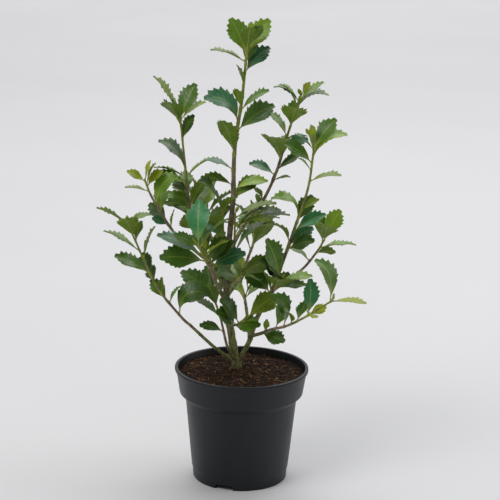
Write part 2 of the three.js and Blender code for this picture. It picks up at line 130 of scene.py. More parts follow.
# Peat fibres on the soil, with their curl in radians at each step
FIBRE_COUNT = 190
FIBRE_REACH = 76
FIBRE_EDGE = 79
FIBRE_STEP = 1.6
FIBRE_POINTS = (3, 9)
FIBRE_RADIUS = (0.1, 0.3)
FIBRE_CURL = 0.09
FIBRE_LIFT = 0.3
FIBRE_UNEVEN = 0.5
FIBRE_SIDES = 5

# Finishes of the litter: the darker and the lighter colour as seen on a screen, and how often it comes
CHIP_FINISHES = {
    "chip_dark": ((24, 15, 10), (56, 38, 25), 5),
    "chip_red": ((78, 42, 22), (126, 74, 42), 4),
    "chip_brown": ((60, 40, 26), (110, 78, 52), 4),
    "chip_tan": ((112, 82, 52), (158, 126, 88), 3),
}
FIBRE_FINISHES = {
    "fibre_tan": ((132, 98, 64), (188, 152, 108), 2),
    "fibre_brown": ((72, 48, 30), (118, 84, 54), 3),
}

# Wood. The overlap of a shoot with its limb is a share of the stem's length.
GROUND = SOIL_TOP + GAP
ROOT_DEPTH = 4
ROOT_FLARE = 0.25
FLARE_HEIGHT = 9
LIMB_SIDES = 14
SHOOT_SIDES = 9
LIMB_STEP = 2.2
SHOOT_STEP = 2.4
SHOOT_OVERLAP = 0.004

# Bark: how rough it is as a share of the radius, its ridges and grain by the noise's pace round the stem
# and their length along it, the collar at a fork, and the leaf scars
LIMB_ROUGH = 0.1
SHOOT_ROUGH = 0.06
TWIG_ROUGH = 0.05
STEM_NOISE_STEP = 7.3
RIDGES_ROUND = 1.6
RIDGE_LENGTH = 16
GRAIN_ROUND = 4
GRAIN_LENGTH = 4
GRAIN_SHARE = 0.55
COLLAR_SWELL = 0.45
COLLAR_LENGTH = 5
SCAR_LENGTH = 1.7
SCAR_ALL_ROUND = 0.45
SCAR_SPACING = 15
SCAR_FIRST = 0.6
SCAR_APART = (0.7, 1.35)
SCAR_SWELL = (0.1, 0.2)
SCARS_FROM = 0.02
SHOOT_SCAR_SWELL = 0.28
SCAR_GREEN = 0.3
SCAR_GREEN_LENGTH = 3.2

# The rounded end of a shoot: steps past its last ring, and the share of its radius left at each
SHOOT_END = ((0.5, 0.8), (0.85, 0.4))

# Buds by length and half width, and where the lower ones stand
TIP_BUD = (2.6, 1.15)
SIDE_BUD = (1.9, 0.85)
BUD_LEAF_SIZE = 0.4
BUD_UP = 0.9
BUD_LIFT = 0.9
BUD_POINTED = 0.45
BUD_SHOULDER = -0.2

# Side twigs with small young leaves, and the tufts at the tips. The two radii are at the twig's foot and
# tip, the places are shares of its length, and inset and margin are measured from the mass's box.
TWIG_EVERY = 4
TWIG_OFFSET = 2
TWIG_RADII = (0.85, 0.6)
TWIG_LENGTH = (9, 17)
TWIG_OUT = 0.55
TWIG_UP = 0.6
TWIG_BEND = 0.5
TWIG_STEP = 1.6
TWIG_SIDES = 7
TWIG_AGE = 0.9
TWIG_INSET = 1
TWIG_LEAF_PLACES = (0.55, 0.95, 1)
TWIG_LEAF_TURN = 137
TWIG_LEAF_SIZE = (0.2, 0.34)
TWIG_YOUNG_SHARE = 0.6
TWIG_LEAST_LEAVES = 2
TUFT_LEAVES = 3
TUFT_LEAF_SIZE = (0.16, 0.3)
REACH_MARGIN = 1.5

# Leaves
LEAF_LENGTH = 57
LEAF_WIDTH = 0.56
LEAF_FOLD = 20
LEAF_ROLL = 52
LEAF_PATH_STEPS = 24
LEAF_BEND_RISE = 1.3
BLADE_THICKNESS = 0.42
BLADE_START = 0.1
BLADE_COLUMNS = 4

# The blade's outline and form, as shares of its half width or length. The pull is the power that moves
# its widest place towards the tip, and the pace of its waves is in radians along the whole leaf.
BLADE_WIDEST_PULL = 1.24
BLADE_TAPER = 0.1
BLADE_TAPER_FROM = 0.6
BLADE_BREADTH = 0.94
BLADE_LEAST_WIDTH = 0.035
BLADE_DROOP = 0.2
WAVE_HEIGHT = 0.07
WAVE_PACE = 11
BLADE_TONE = (0.1, 0.8)

# Teeth: the fewest, more of them on a long leaf, and the first one's row. Each tooth reaches out, points
# forward and lifts, and the margin dips between two of them, all by a drawn pucker.
TEETH_LEAST = 2
TEETH_MORE = 4.4
TEETH_LONGEST = 1.05
FIRST_TOOTH = 5
PUCKER = (0.45, 1.3)
TOOTH_REACH = (0.1, 0.16)
TOOTH_FADE = 0.3
TOOTH_AT_TIP = 0.1
TOOTH_FORWARD = 0.75
TOOTH_LIFT = 0.09
DIP_REACH = 0.97
DIP_DEPTH = 0.03
DIP_SHIFT = 0.3
DIP_PUCKER = 0.9
DIP_DROP = 0.07

# The stalk's radius at its foot and neck, the rib's at its tip, and how deep the rib lies under the
# blade: a share of its radius and a gap. Where they begin and end are shares of the leaf's length.
STALK_RADIUS = 1.1
NECK_RADIUS = 0.65
RIB_RADIUS = 0.16
STALK_TO = 0.16
RIB_FROM = 0.1
RIB_TO = 0.97
RIB_SUNK = 0.85
RIB_GAP = 0.05
RIB_SUNK_TO = 0.26
STALK_STEPS = 12
STALK_SIDES = 6
STALK_SMALLEST = 0.6

# Leaf habits: how far a leaf leans from its stem in degrees, how far it arches over, and its size
# as a share of the full length
HABITS = {
    "young": (18, 0.2, 0.56),
    "upright": (22, 0.35, 0.88),
    "spreading": (40, 0.5, 0.86),
    "arching": (18, 0.75, 1.02),
    "drooping": (20, 1.15, 1),
    "level": (56, 0.85, 0.9),
}
ARCH_FALL = 0.3
UPTURN = 0.5
LEAN_SPREAD = 5
ARCH_SPREAD = 0.15
SIZE_SPREAD = 0.06

# Clearance between a leaf's spots and the wood and the leaves before it
SPOTS_ALONG = 12
SPOTS_ACROSS = 3
LEAF_CLEARANCE = 3
SIBLING_CLEARANCE = 1.4
WOOD_CLEARANCE = 2.2
FREE_SHARE = 0.34
WOOD_SPOT_STEP = 2.5
BLADE_FROM = 0.15
BLADE_TO = 0.95
NEAR_WOOD = 10
NEAR_LEAVES = 4
TURN_TRIES = (0, 14, -14, 28, -28, 42, -42, 60, -60)

# Numbers of the seeded draw, and the marks that a stem's line is measured by
DRAW_FACTOR = 1664525
DRAW_STEP = 1013904223
DRAW_RANGE = 4294967296
LINE_MARKS = 200
LINE_NUDGE = 0.0001

# Finishes: the side veins' rows and slant, and how far the painted shade at the foot of the trunk climbs the
# wood above the soil
VEIN_ROWS = 8.0
VEIN_SLANT = 3.4
FOOT_SHADE_HEIGHT = 9

# The studio: the floor's reach, the sensor's width in millimetres, the photo's width and the focal length
# in its pixels, and the camera's angles. The floor, the camera's place and its sight are in metres.
FLOOR_REACH = 14
SENSOR_WIDTH = 36
PHOTO_PIXELS = 500
FOCAL_PIXELS = 1566
CAMERA_PLACE = (0, -1.898, 0.779)
CAMERA_PITCH = -14.2
CAMERA_YAW = 0.226
CAMERA_ROLL = 1.2
CAMERA_SIGHT = 60

# Stems, from the foot to the tip, as rows of the limb, the foliage, the points of the centre line and
# the leaves by habit: share of the leafy stretch, heading, own size and own roll. Under tints, each
# letter is the tint of one leaf in its turn.
STEMS = [
  {
    "limb": "trunk", "foliage": "leader_foliage", "foot": 5.5, "tip": 1.3, "bare": 4,
    "points": [[-6, 11, GROUND], [-14, 1, 188], [-21, -3, 232], [-19, 1, 305], [-15, 4, 361],
      [-14, 7, 425], [-6, 4, 490], [-1, 0, 552]],
    "leaves": {
      "arching": [[0.01, 355, 0.75]],
      "drooping": [[0.5, 178, 1.12, -35]],
      "level": [[0.07, 0, 0.85, 20], [0.1, 184, 0.78], [0.2, 176, 0.68], [0.9, 182, 0.78, 0]],
      "spreading": [[0.45, 25, 0.98, 35], [0.58, 350, 0.8, 20], [0.83, 30, 0.78, 30]],
      "upright": [[0.3, 240, 1, 0], [0.6, 240, 0.5, 0], [0.88, 90, 0.7], [0.94, 150, 0.9, -45],
        [0.95, 30, 0.9, 40], [0.97, 275, 0.74, 0], [1, 335, 0.6]],
    },
    "tints": {"arching": "o", "drooping": "b", "level": "fbbo",
      "spreading": "dgb", "upright": "oodgfoo"},
  },
  {
    "limb": "low_left_bough", "foliage": "low_left_foliage", "from": "trunk", "foot": 2.3, "tip": 1.1,
    "bare": 3,
    "points": [[-7, 9, 147], [-35, 4, 169], [-64, 0, 197], [-78, 0, 210], [-107, 0, 246],
      [-124, 5, 279], [-146, 12, 326]],
    "leaves": {
      "drooping": [[0.03, 355, 1.1, 45]],
      "level": [[1, 10, 0.6]],
      "spreading": [[0.17, 15, 0.5, 0], [0.4, 100, 0.6], [0.53, 180, 0.85, -30], [0.77, 178, 0.95, 0],
        [0.88, 268, 0.9, 0], [1, 172, 0.75]],
      "upright": [[0.2, 160, 0.6, -30], [0.7, 10, 0.74, 0], [0.85, 320, 0.5]],
      "young": [[0.28, 285, 0.4]],
    },
    "tints": {"drooping": "d", "level": "o", "spreading": "gddgod",
      "upright": "goo", "young": "f"},
  },
  {
    "limb": "right_bough", "foliage": "right_high_foliage", "from": "trunk", "foot": 3.6, "tip": 1.2,
    "bare": 4,
    "points": [[-5, 10, 147], [9, 8, 177], [18, 12, 206], [36, 20, 240], [50, 15, 283],
      [64, -2, 333], [77, -20, 384], [82, -30, 433]],
    "leaves": {
      "drooping": [[0.16, 176, 0.88], [0.41, 180, 0.86], [0.93, 5, 0.95, 8]],
      "level": [[0.72, 355, 0.72, 0]],
      "spreading": [[0.1, 325, 0.8], [0.13, 25, 0.75, 30], [0.27, 5, 0.85, 20], [0.46, 350, 0.5, 20],
        [0.82, 190, 0.4], [0.88, 165, 0.75, -35], [1, 195, 0.6]],
      "upright": [[0.35, 100, 0.7], [0.96, 100, 0.7], [1, 70, 0.8, 25]],
      "young": [[0.3, 240, 0.5]],
    },
    "tints": {"drooping": "ggf", "level": "o", "spreading": "dbtogdb",
      "upright": "dog", "young": "y"},
  },
  {
    "limb": "left_stem", "foliage": "left_stem_foliage", "from": "trunk", "foot": 2, "tip": 1.1, "bare": 2,
    "points": [[-8, 7, 150], [-18, -6, 172], [-23, -10, 192], [-29, -5, 215], [-38, 6, 236]],
    "leaves": {
      "level": [[0.05, 182, 0.6, -35]],
      "spreading": [[0.42, 172, 0.8], [0.8, 30, 0.8], [1, 182, 0.95, -35]],
      "upright": [[1, 110, 0.8]],
      "young": [[0.7, 265]],
    },
    "tints": {"level": "d", "spreading": "gdd", "upright": "d", "young": "g"},
  },
  {
    "limb": "front_bough", "foliage": "front_foliage", "from": "trunk", "foot": 3, "tip": 1.2, "bare": 2,
    "points": [[-21, -3, 232], [-31, -25, 256], [-40, -44, 284], [-48, -56, 302], [-55, -68, 320]],
    "leaves": {
      "level": [[0.02, 5, 0.9], [0.33, 188, 1.05, -38]],
      "upright": [[0.98, 76, 0.98, 0]],
      "spreading": [[0.12, 15, 0.8, 20], [0.25, 40, 0.7], [0.4, 90, 0.8], [0.5, 350, 0.7],
        [0.58, 176, 1.1, 0], [0.9, 15, 0.95], [0.92, 172, 0.65, -20]],
    },
    "tints": {"level": "bd", "upright": "t", "spreading": "dddybbd"},
  },
  {
    "limb": "left_bough", "foliage": "left_top_foliage", "from": "trunk", "foot": 2.9, "tip": 1.2, "bare": 1,
    "points": [[-20, -1, 245], [-48, 22, 288], [-70, 40, 345], [-76, 46, 390], [-83, 45, 454]],
    "leaves": {
      "arching": [[0.08, 10], [0.2, 150], [0.67, 178, 0.88, -20]],
      "level": [[0.31, 188, 0.72], [0.6, 182, 0.75]],
      "upright": [[0.32, 12, 0.7], [0.87, 8, 0.64, 40], [1, 170, 1.08, 4], [0.96, 215, 0.78, -20],
        [1, 35, 0.84, 30]],
      "spreading": [[0.02, 100], [0.14, 250], [0.26, 40], [0.4, 215, 0.45], [0.46, 95, 0.6],
        [0.61, 0, 0.76, 0], [0.98, 265, 0.95, 0], [1, 325, 0.68, 10]],
    },
    "tints": {"arching": "dgd", "level": "og", "upright": "gdobg", "spreading": "dddogfof"},
  },
  {
    "limb": "left_side_bough", "foliage": "left_high_foliage", "from": "left_bough", "foot": 2, "tip": 1.1,
    "bare": 1,
    "points": [[-40, 15, 275], [-84, -22, 322], [-103, -40, 356], [-114, -45, 376], [-121, -46, 394]],
    "leaves": {
      "arching": [[0.45, 5, 0.85]],
      "level": [[0.75, 182, 0.55, 0]],
      "spreading": [[0.12, 190, 0.42, -40], [0.3, 80, 0.6], [0.97, 190, 0.48, -40]],
      "upright": [[0.9, 345, 0.54, 20], [0.98, 105, 0.5, 0]],
      "young": [[0.08, 320, 0.45], [0.45, 250, 0.4], [1, 30, 0.45]],
    },
    "tints": {"arching": "g", "level": "o", "spreading": "bgy", "upright": "yb", "young": "ygy"},
  },
  {
    "limb": "right_top_bough", "foliage": "right_top_foliage", "from": "trunk", "foot": 2.8, "tip": 1.2,
    "bare": 1,
    "points": [[-19, 1, 295], [0, 32, 324], [23, 56, 350], [40, 65, 388], [53, 58, 438],
      [65, 50, 479]],
    "leaves": {
      "drooping": [[0.95, 172, 0.82, 0], [0.94, 2, 0.86, 0]],
      "level": [[0.06, 350, 0.85], [0.42, 10, 0.4], [0.46, 184, 0.7, -30], [0.71, 340, 0.5]],
      "spreading": [[0.17, 250, 0.45], [0.25, 200, 0.4], [0.5, 355, 0.64, 30], [0.55, 88],
        [0.58, 248, 1.25, 0], [0.72, 150, 0.7, 0], [0.79, 270, 1.1, 0], [1, 195, 0.56, 0],
        [1, 20, 0.7, 0]],
      "upright": [[0.8, 92, 0.6]],
      "young": [[0.38, 200, 0.4]],
    },
    "tints": {"drooping": "gg", "level": "dobb", "spreading": "dgddogfgf",
      "upright": "g", "young": "g"},
  },
  {
    "limb": "right_side_bough", "foliage": "right_side_foliage", "from": "right_bough", "foot": 2, "tip": 1.1,
    "bare": 1,
    "points": [[36, 20, 240], [74, 45, 262], [94, 60, 283], [103, 60, 299]],
    "leaves": {
      "level": [[0.22, 180, 0.62], [0.45, 325, 0.5], [0.65, 0, 0.85, 0]],
      "spreading": [[0.95, 262, 0.95, 0]],
      "upright": [[0.87, 130, 0.7], [1, 60, 0.82, 30]],
    },
    "tints": {"level": "gof", "spreading": "o", "upright": "gf"},
  },
  {
    "limb": "low_right_bough", "foliage": "low_right_foliage", "from": "right_bough", "foot": 2.4, "tip": 1.1,
    "bare": 1,
    "points": [[11, 8, 184], [22, -8, 192], [36, -28, 204], [56, -42, 214], [79, -50, 229],
      [108, -55, 250]],
    "leaves": {
      "arching": [[0.44, 172, 0.9], [0.99, 165, 1, -20]],
      "level": [[0.04, 320, 0.66, 40], [0.78, 265, 0.6, 0], [1, 355, 0.76, 0]],
      "spreading": [[0.32, 100, 0.7], [0.55, 175, 0.62, 0], [0.62, 90, 0.6], [0.77, 330, 0.42]],
      "upright": [[0.76, 150, 0.8, -30]],
    },
    "tints": {"arching": "dg", "level": "dyy", "spreading": "dgdy", "upright": "t"},
  },
  {
    "limb": "back_left_bough", "foliage": "back_left_foliage", "from": "trunk", "foot": 2.6, "tip": 1.2,
    "bare": 2,
    "points": [[-21, -2, 255], [-34, 42, 280], [-44, 74, 300], [-50, 100, 315], [-54, 120, 329]],
    "leaves": {
      "arching": [[0.06, 150], [0.34, 250], [0.7, 200]],
      "spreading": [[0.2, 30], [0.48, 110], [0.6, 350]],
      "upright": [[0.82, 75], [0.97, 160], [1, 48]],
      "young": [[0.92, 300]],
    },
  },
  {
    "limb": "back_right_bough", "foliage": "back_right_foliage", "from": "trunk", "foot": 2.6, "tip": 1.2,
    "bare": 2,
    "points": [[-21, -3, 238], [-2, 42, 256], [6, 75, 271], [12, 102, 282], [12, 124, 292]],
    "leaves": {
      "arching": [[0.2, 180], [0.6, 215], [0.72, 350]],
      "spreading": [[0.34, 300]],
      "upright": [[0.84, 120], [0.97, 20]],
      "young": [[0.93, 240]],
    },
  },
  {
    "limb": "back_low_bough", "foliage": "back_low_foliage", "from": "right_bough", "foot": 2.4, "tip": 1.1,
    "bare": 1,
    "points": [[10, 9, 181], [4, 60, 208], [0, 92, 220], [-6, 116, 231]],
    "leaves": {
      "arching": [[0.08, 190], [0.54, 250]],
      "spreading": [[0.22, 20], [0.38, 120], [0.82, 170]],
      "upright": [[0.68, 110], [1, 90]],
      "young": [[0.93, 320]],
    },
  },
  {
    "foliage": "trunk_right_spray", "from": "trunk", "foot": 1.6, "tip": 1.1, "bare": 0,
    "points": [[-19, 1, 283], [-13, -3, 293], [-12, -3, 345]],
    "leaves": {
      "arching": [[0.5, 355, 1.1, 5], [0.77, 355, 0.95, 0]],
      "level": [[0.86, 350, 1.25, -5], [0.95, 355, 1.05, 5]],
    },
    "tints": {"arching": "dg", "level": "do"},
  },
  {
    "foliage": "trunk_left_spray", "from": "trunk", "foot": 1.6, "tip": 1.1, "bare": 0,
    "points": [[-19, 1, 300], [-25.5, -3, 314], [-27, -4, 350]],
    "leaves": {
      "arching": [[0.4, 172, 1.02, -30], [0.92, 165, 1.15, -35]],
      "spreading": [[0.3, 255, 0.8], [0.6, 225], [1, 255, 0.7]],
      "upright": [[1, 120]],
    },
    "tints": {"arching": "bd", "spreading": "ddb", "upright": "d"},
  },
  {
    "foliage": "low_spray", "from": "trunk", "foot": 1.5, "tip": 1, "bare": 0,
    "points": [[-16, 0, 199], [-7, -16, 206], [5, -22, 216]],
    "leaves": {
      "level": [[0.86, 60]],
      "spreading": [[0.15, 300, 0.85, 25], [0.6, 190, 0.8, -30], [1, 10, 0.9, 20]],
      "young": [[0.6, 320, 0.4]],
    },
    "tints": {"level": "d", "spreading": "gdo", "young": "y"},
  },
  {
    "foliage": "inner_spray", "from": "trunk", "foot": 1.5, "tip": 1, "bare": 0,
    "points": [[-20, -1, 252], [-12, -9, 262], [-4, -14, 270]],
    "leaves": {
      "level": [[0.7, 210, 0.8], [0.95, 300, 0.75]],
      "spreading": [[0.9, 25, 0.8, 30]],
    },
    "tints": {"level": "db", "spreading": "o"},
  },
  {
    "foliage": "right_bough_spray", "from": "right_bough", "foot": 1.8, "tip": 1.1, "bare": 0,
    "points": [[34, 20, 236], [39, 4, 246], [46, -4, 262]],
    "leaves": {
      "arching": [[0.2, 175, 1]],
      "level": [[0.6, 355, 0.75], [0.85, 10, 0.75, 0]],
      "spreading": [[0.08, 195, 0.9, -30], [0.35, 350, 0.6], [0.55, 240, 1, 0], [0.8, 275, 0.8, 0],
        [0.95, 212, 0.8, -20]],
      "upright": [[1, 160, 1, -40]],
    },
    "tints": {"arching": "g", "level": "gf", "spreading": "ddofd", "upright": "g"},
  },
]


# Seeded draws, the same on every run: one line of them for the growth, another for the fine detail
growth = {"state": GROWTH_SEED}
detail = random.Random(DETAIL_SEED)


def chance():
    growth["state"] = (growth["state"] * DRAW_FACTOR + DRAW_STEP) % DRAW_RANGE
    return growth["state"] / DRAW_RANGE


def between(low, high):
    return low + (high - low) * chance()


def mix(a, b, share):
    return a + (b - a) * share


def unit(vector):
    return vector / np.linalg.norm(vector)


def turned_about(vector, axis, angle):
    crossed = np.cross(axis, vector)
    lifted = axis * np.dot(axis, vector) * (1 - math.cos(angle))
    return vector * math.cos(angle) + crossed * math.sin(angle) + lifted


UP = np.array([0.0, 0.0, 1.0])


# A point of a stem's smooth centre line, at a share from its foot to its tip
def line_point(stem, share):
    points = stem["line"]
    last = len(points) - 1
    i = min(int(last * share), last - 1)
    w = last * share - i
    a, b = points[i], points[i + 1]
    before = points[i - 1] if i > 0 else 2 * a - b
    after = points[i + 2] if i + 2 <= last else 2 * b - a
    leave = (b - before) / 2
    arrive = (after - a) / 2
    curve = (3 * b - 3 * a - 2 * leave - arrive) * w ** 2 + (2 * a - 2 * b + leave + arrive) * w ** 3
    return a + leave * w + curve


def line_way(stem, share):
    ahead = line_point(stem, min(share + LINE_NUDGE, 1))
    return unit(ahead - line_point(stem, max(share - LINE_NUDGE, 0)))


def line_length(stem):
    marks = [line_point(stem, i / LINE_MARKS) for i in range(LINE_MARKS + 1)]
    return sum(np.linalg.norm(b - a) for a, b in zip(marks, marks[1:]))


def stem_radius(stem, share, height):
    flare = 0 if "from" in stem else ROOT_FLARE * math.exp((GROUND - height) / FLARE_HEIGHT)
    return mix(stem["foot"], stem["tip"], share) * (1 + flare)


for number, row in enumerate(STEMS):
    row["number"] = number
    row["line"] = np.array(row["points"], float)
    row["length"] = line_length(row)
    row["start"] = row["bare"] / (len(row["points"]) - 1)


# Where a leaf starts, and the way its midrib runs as it arches outwards
def grow_leaf(stem, habit, place, turn):
    habit_lean, habit_arch, habit_size = HABITS[habit]
    at, heading = place[:2]
    size = place[2] if len(place) > 2 else habit_size
    share = mix(stem["start"], 1, at)
    lean = math.radians(habit_lean + between(-LEAN_SPREAD, LEAN_SPREAD))
    arch = habit_arch * between(1 - ARCH_SPREAD, 1 + ARCH_SPREAD)
    length = LEAF_LENGTH * size * between(1 - SIZE_SPREAD, 1 + SIZE_SPREAD)
    seeded_roll = between(-LEAF_ROLL, LEAF_ROLL)
    roll = math.radians(place[3] if len(place) > 3 else seeded_roll)
    axis = unit(mix(line_way(stem, share), UP, UPTURN))
    angle = math.radians(heading + turn)
    flat = np.array([math.cos(angle), math.sin(angle), 0.0])
    out = unit(flat - axis * np.dot(flat, axis))
    first = axis * math.cos(lean) + out * math.sin(lean)
    last = unit(np.array([flat[0], flat[1], -ARCH_FALL]))
    points = [line_point(stem, share)]
    ways = []
    for i in range(LEAF_PATH_STEPS):
        bend = min(arch * (i / LEAF_PATH_STEPS) ** LEAF_BEND_RISE, 1)
        ways.append(unit(mix(first, last, bend)))
        points.append(points[i] + ways[i] * length / LEAF_PATH_STEPS)
    return {
        "stem": stem, "habit": habit, "at": at, "share": share, "size": size, "points": points,
        "ways": ways, "face": axis, "roll": roll, "length": length,
        "half": length * LEAF_WIDTH / 2,
    }


# The leaf's cross-section at a share of its length: middle, way, side and upper face. The growth rule
# takes the way of each step as it is, and the finished blade turns evenly from one to the next.
def leaf_section(leaf, share, evenly=False):
    ways = leaf["ways"]
    last = LEAF_PATH_STEPS - 1
    place = share * LEAF_PATH_STEPS
    i = min(int(place), last)
    middle = mix(leaf["points"][i], leaf["points"][i + 1], place - i)
    way = ways[i]
    if evenly:
        before = i - 1 if place - i < 0.5 else i
        way = unit(mix(ways[max(before, 0)], ways[min(before + 1, last)], (place - i + 0.5) % 1))
    face = unit(leaf["face"] - way * np.dot(leaf["face"], way))
    face = turned_about(face, way, leaf["roll"])
    return middle, way, np.cross(way, face), face


def leaf_spots(leaf):
    cos_fold = math.cos(math.radians(LEAF_FOLD))
    sin_fold = math.sin(math.radians(LEAF_FOLD))
    spots = []
    shares = []
    for i in range(1, SPOTS_ALONG + 1):
        share = i / SPOTS_ALONG
        middle, _, side, face = leaf_section(leaf, share)
        on_blade = BLADE_FROM < share < BLADE_TO
        width = leaf["half"] * math.sin(math.pi * share) if on_blade else 0
        for j in range(-SPOTS_ACROSS, SPOTS_ACROSS + 1):
            across = j / SPOTS_ACROSS
            point = middle + side * across * width * cos_fold
            spots.append(point + face * abs(across) * width * sin_fold)
            shares.append(share)
    return np.array(spots), np.array(shares)


# What the leaves keep clear of: spots with their reach, stem number and share of their leaf
wood = {"points": [], "reach": [], "stem": []}
for row in STEMS:
    count = math.ceil(row["length"] / WOOD_SPOT_STEP)
    for i in range(count + 1):
        spot = line_point(row, i / count)
        wood["points"].append(spot)
        wood["reach"].append(stem_radius(row, i / count, spot[2]) + WOOD_CLEARANCE)
        wood["stem"].append(row["number"])
wood = {key: np.array(values) for key, values in wood.items()}
grown = {"points": np.zeros((0, 3)), "stem": np.zeros(0, int), "share": np.zeros(0)}


# A leaf is clear when no spot of it comes near wood or an earlier leaf, apart from its own root
def is_clear(number, spots, shares):
    near = shares < FREE_SHARE
    low = spots.min(0)
    high = spots.max(0)
    box = ((wood["points"] > low - NEAR_WOOD) & (wood["points"] < high + NEAR_WOOD)).all(1)
    gaps = np.linalg.norm(spots[:, None] - wood["points"][box][None], axis=2)
    allowed = near[:, None] & (wood["stem"][box] == number)[None]
    if not (allowed | (gaps > wood["reach"][box][None])).all():
        return False
    box = ((grown["points"] > low - NEAR_LEAVES) & (grown["points"] < high + NEAR_LEAVES)).all(1)
    gaps = np.linalg.norm(spots[:, None] - grown["points"][box][None], axis=2)
    sibling = (grown["stem"][box] == number)[None]
    allowed = near[:, None] & sibling & (grown["share"][box] < FREE_SHARE)[None]
    reach = np.where(sibling, SIBLING_CLEARANCE, LEAF_CLEARANCE)
    return (allowed | (gaps > reach)).all()


def keep_spots(number, spots, shares):
    grown["points"] = np.concatenate([grown["points"], spots])
    grown["stem"] = np.concatenate([grown["stem"], np.full(len(spots), number)])
    grown["share"] = np.concatenate([grown["share"], shares])


# One leaf, turned aside where it meets something, or none where no turn clears it
def placed_leaf(stem, habit, place):
    before = growth["state"]
    for turn in TURN_TRIES:
        growth["state"] = before
        leaf = grow_leaf(stem, habit, place, turn)
        spots, shares = leaf_spots(leaf)
        if is_clear(stem["number"], spots, shares):
            keep_spots(stem["number"], spots, shares)
            return leaf
    return None


def add_leaf(stem, habit, place, tint):
    leaf = placed_leaf(stem, habit, place)
    if leaf:
        leaf["tint"] = tint
        stem["kept"].append(leaf)


for row in STEMS:
    row["kept"] = []
    for habit, places in row["leaves"].items():
        tints = row.get("tints", {}).get(habit, "")
        for order, place in enumerate(places):
            add_leaf(row, habit, place, tints[order] if order < len(tints) else "")


# More leaves where a mass is dense, grown by the same rule after the main ones. Each has the letter of
# its tint first, and then its share of the leafy stretch, heading, size and roll.
FINER = {
    "leader_foliage": {
        "upright": [["b", 0.75, 225, 0.5, -20]], "spreading": [["g", 0, 5, 0.8, 35]],
    },
    "low_left_foliage": {"upright": [["d", 0.5, 110, 0.6, -30]]},
    "left_top_foliage": {
        "level": [["g", 0.54, 188, 0.75, -40]], "spreading": [["d", 0.42, 165, 0.7, -40]],
    },
    "left_high_foliage": {
        "spreading": [["y", 0.86, 5, 0.5, 40], ["d", 0.14, 130, 0.62, -40]],
    },
    "right_top_foliage": {"level": [["b", 0.66, 20, 0.6, 35], ["d", 0.05, 0, 0.7, 10]]},
    "right_bough_spray": {"arching": [["d", 0.8, 175, 0.9, -45]]},
    "low_spray": {"spreading": [["d", 0.4, 200, 0.8, -30], ["d", 0.75, 330, 0.6, 20]]},
    "inner_spray": {"spreading": [["d", 0.3, 200, 0.6, -30]]},
}

for row in STEMS:
    for habit, places in FINER.get(row["foliage"], {}).items():
        for tint, *place in places:
            add_leaf(row, habit, place, tint)


# Shapes

def smooth_step(low, high, value):
    share = min(max((value - low) / (high - low), 0), 1)
    return share * share * (3 - 2 * share)


# The mesh of a shape that is ready
def mesh_of(name, shape):
    mesh = bpy.data.meshes.new(name)
    shape.to_mesh(mesh)
    shape.free()
    return mesh


def add_to_scene(name, data):
    added = bpy.data.objects.new(name, data)
    bpy.context.scene.collection.objects.link(added)
    return added


# A finished piece from its shape, at its place in the plant
def finished(name, shape, finishes, stands_for=(), smooth=True):
    for face in shape.faces:
        face.smooth = smooth
    mesh = mesh_of(name, shape)
    for finish in finishes:
        mesh.materials.append(finish)
    piece = add_to_scene(name, mesh)
    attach(piece, "root")
    if stands_for:
        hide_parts(*stands_for)
    return piece


# A flat sheet of quads, with its vertices named by their place along and across
def sheet_of_quads(shape, along, across):
    made = bmesh.ops.create_grid(shape, x_segments=along, y_segments=across, size=0.5)["verts"]
    return {
        (round((v.co.x + 0.5) * along), round((v.co.y + 0.5) * across)): v for v in made
    }


# A round tube through rings of (centre, way, radius at an angle, age), closed at both ends
def tube(shape, rings, sides, age_layer):
    last = len(rings) - 1
    sheet = sheet_of_quads(shape, last, sides)
    side = np.array([1.0, 0.0, 0.0])
    for i, (centre, way, radius_at, age) in enumerate(rings):
        side = unit(side - way * np.dot(side, way))
        across = np.cross(side, way)
        for j in range(sides + 1):
            angle = 2 * math.pi * (j % sides) / sides
            reach = side * math.cos(angle) + across * math.sin(angle)
            vert = sheet[i, j]
            vert.co = Vector((centre + reach * radius_at(angle)) * MM)
            vert[age_layer] = age
    ends = [[sheet[i, j] for j in range(sides)] for i in (0, last)]
    seam = [sheet[i, j] for i in range(last + 1) for j in (0, sides)]
    bmesh.ops.remove_doubles(shape, verts=seam, dist=WELD)
    for end in ends:
        rim = [e for v in end if v.is_valid for e in v.link_edges if e.is_boundary]
        bmesh.ops.holes_fill(shape, edges=list(set(rim)), sides=0)


# Leaf scars along a bare stem: the place in millimetres from its foot, the direction and the swelling
def scars_of(stem):
    scars = []
    turn = detail.uniform(0, ANY_TURN)
    place = SCARS_FROM * stem["length"] + SCAR_SPACING * SCAR_FIRST
    while place < stem["start"] * stem["length"]:
        scars.append((place, turn, detail.uniform(*SCAR_SWELL)))
        turn += math.radians(SCAR_TURN)
        place += SCAR_SPACING * detail.uniform(*SCAR_APART)
    return scars


# The radius of a stem at an angle, with its ridges, its scars and the collar at its foot
def bark_radius(stem, share, height, scars, rough):
    base = stem_radius(stem, share, height)
    place = share * stem["length"]
    collar = COLLAR_SWELL * math.exp(-place / COLLAR_LENGTH) if "from" in stem else 0
    seed = stem["number"] * STEM_NOISE_STEP

    def radius_at(angle):
        x, y = math.cos(angle), math.sin(angle)
        ridges = noise.noise(Vector((x * RIDGES_ROUND + seed, y * RIDGES_ROUND, place / RIDGE_LENGTH)))
        grain = noise.noise(Vector((x * GRAIN_ROUND + seed, y * GRAIN_ROUND, place / GRAIN_LENGTH)))
        swelling = 0
        for at, turn, size in scars:
            facing = mix(SCAR_ALL_ROUND, 1, max(math.cos(angle - turn), 0))
            swelling += size * math.exp(-((place - at) / SCAR_LENGTH) ** 2) * facing
        return base * (1 + collar + swelling + rough * (ridges + GRAIN_SHARE * grain))

    return radius_at


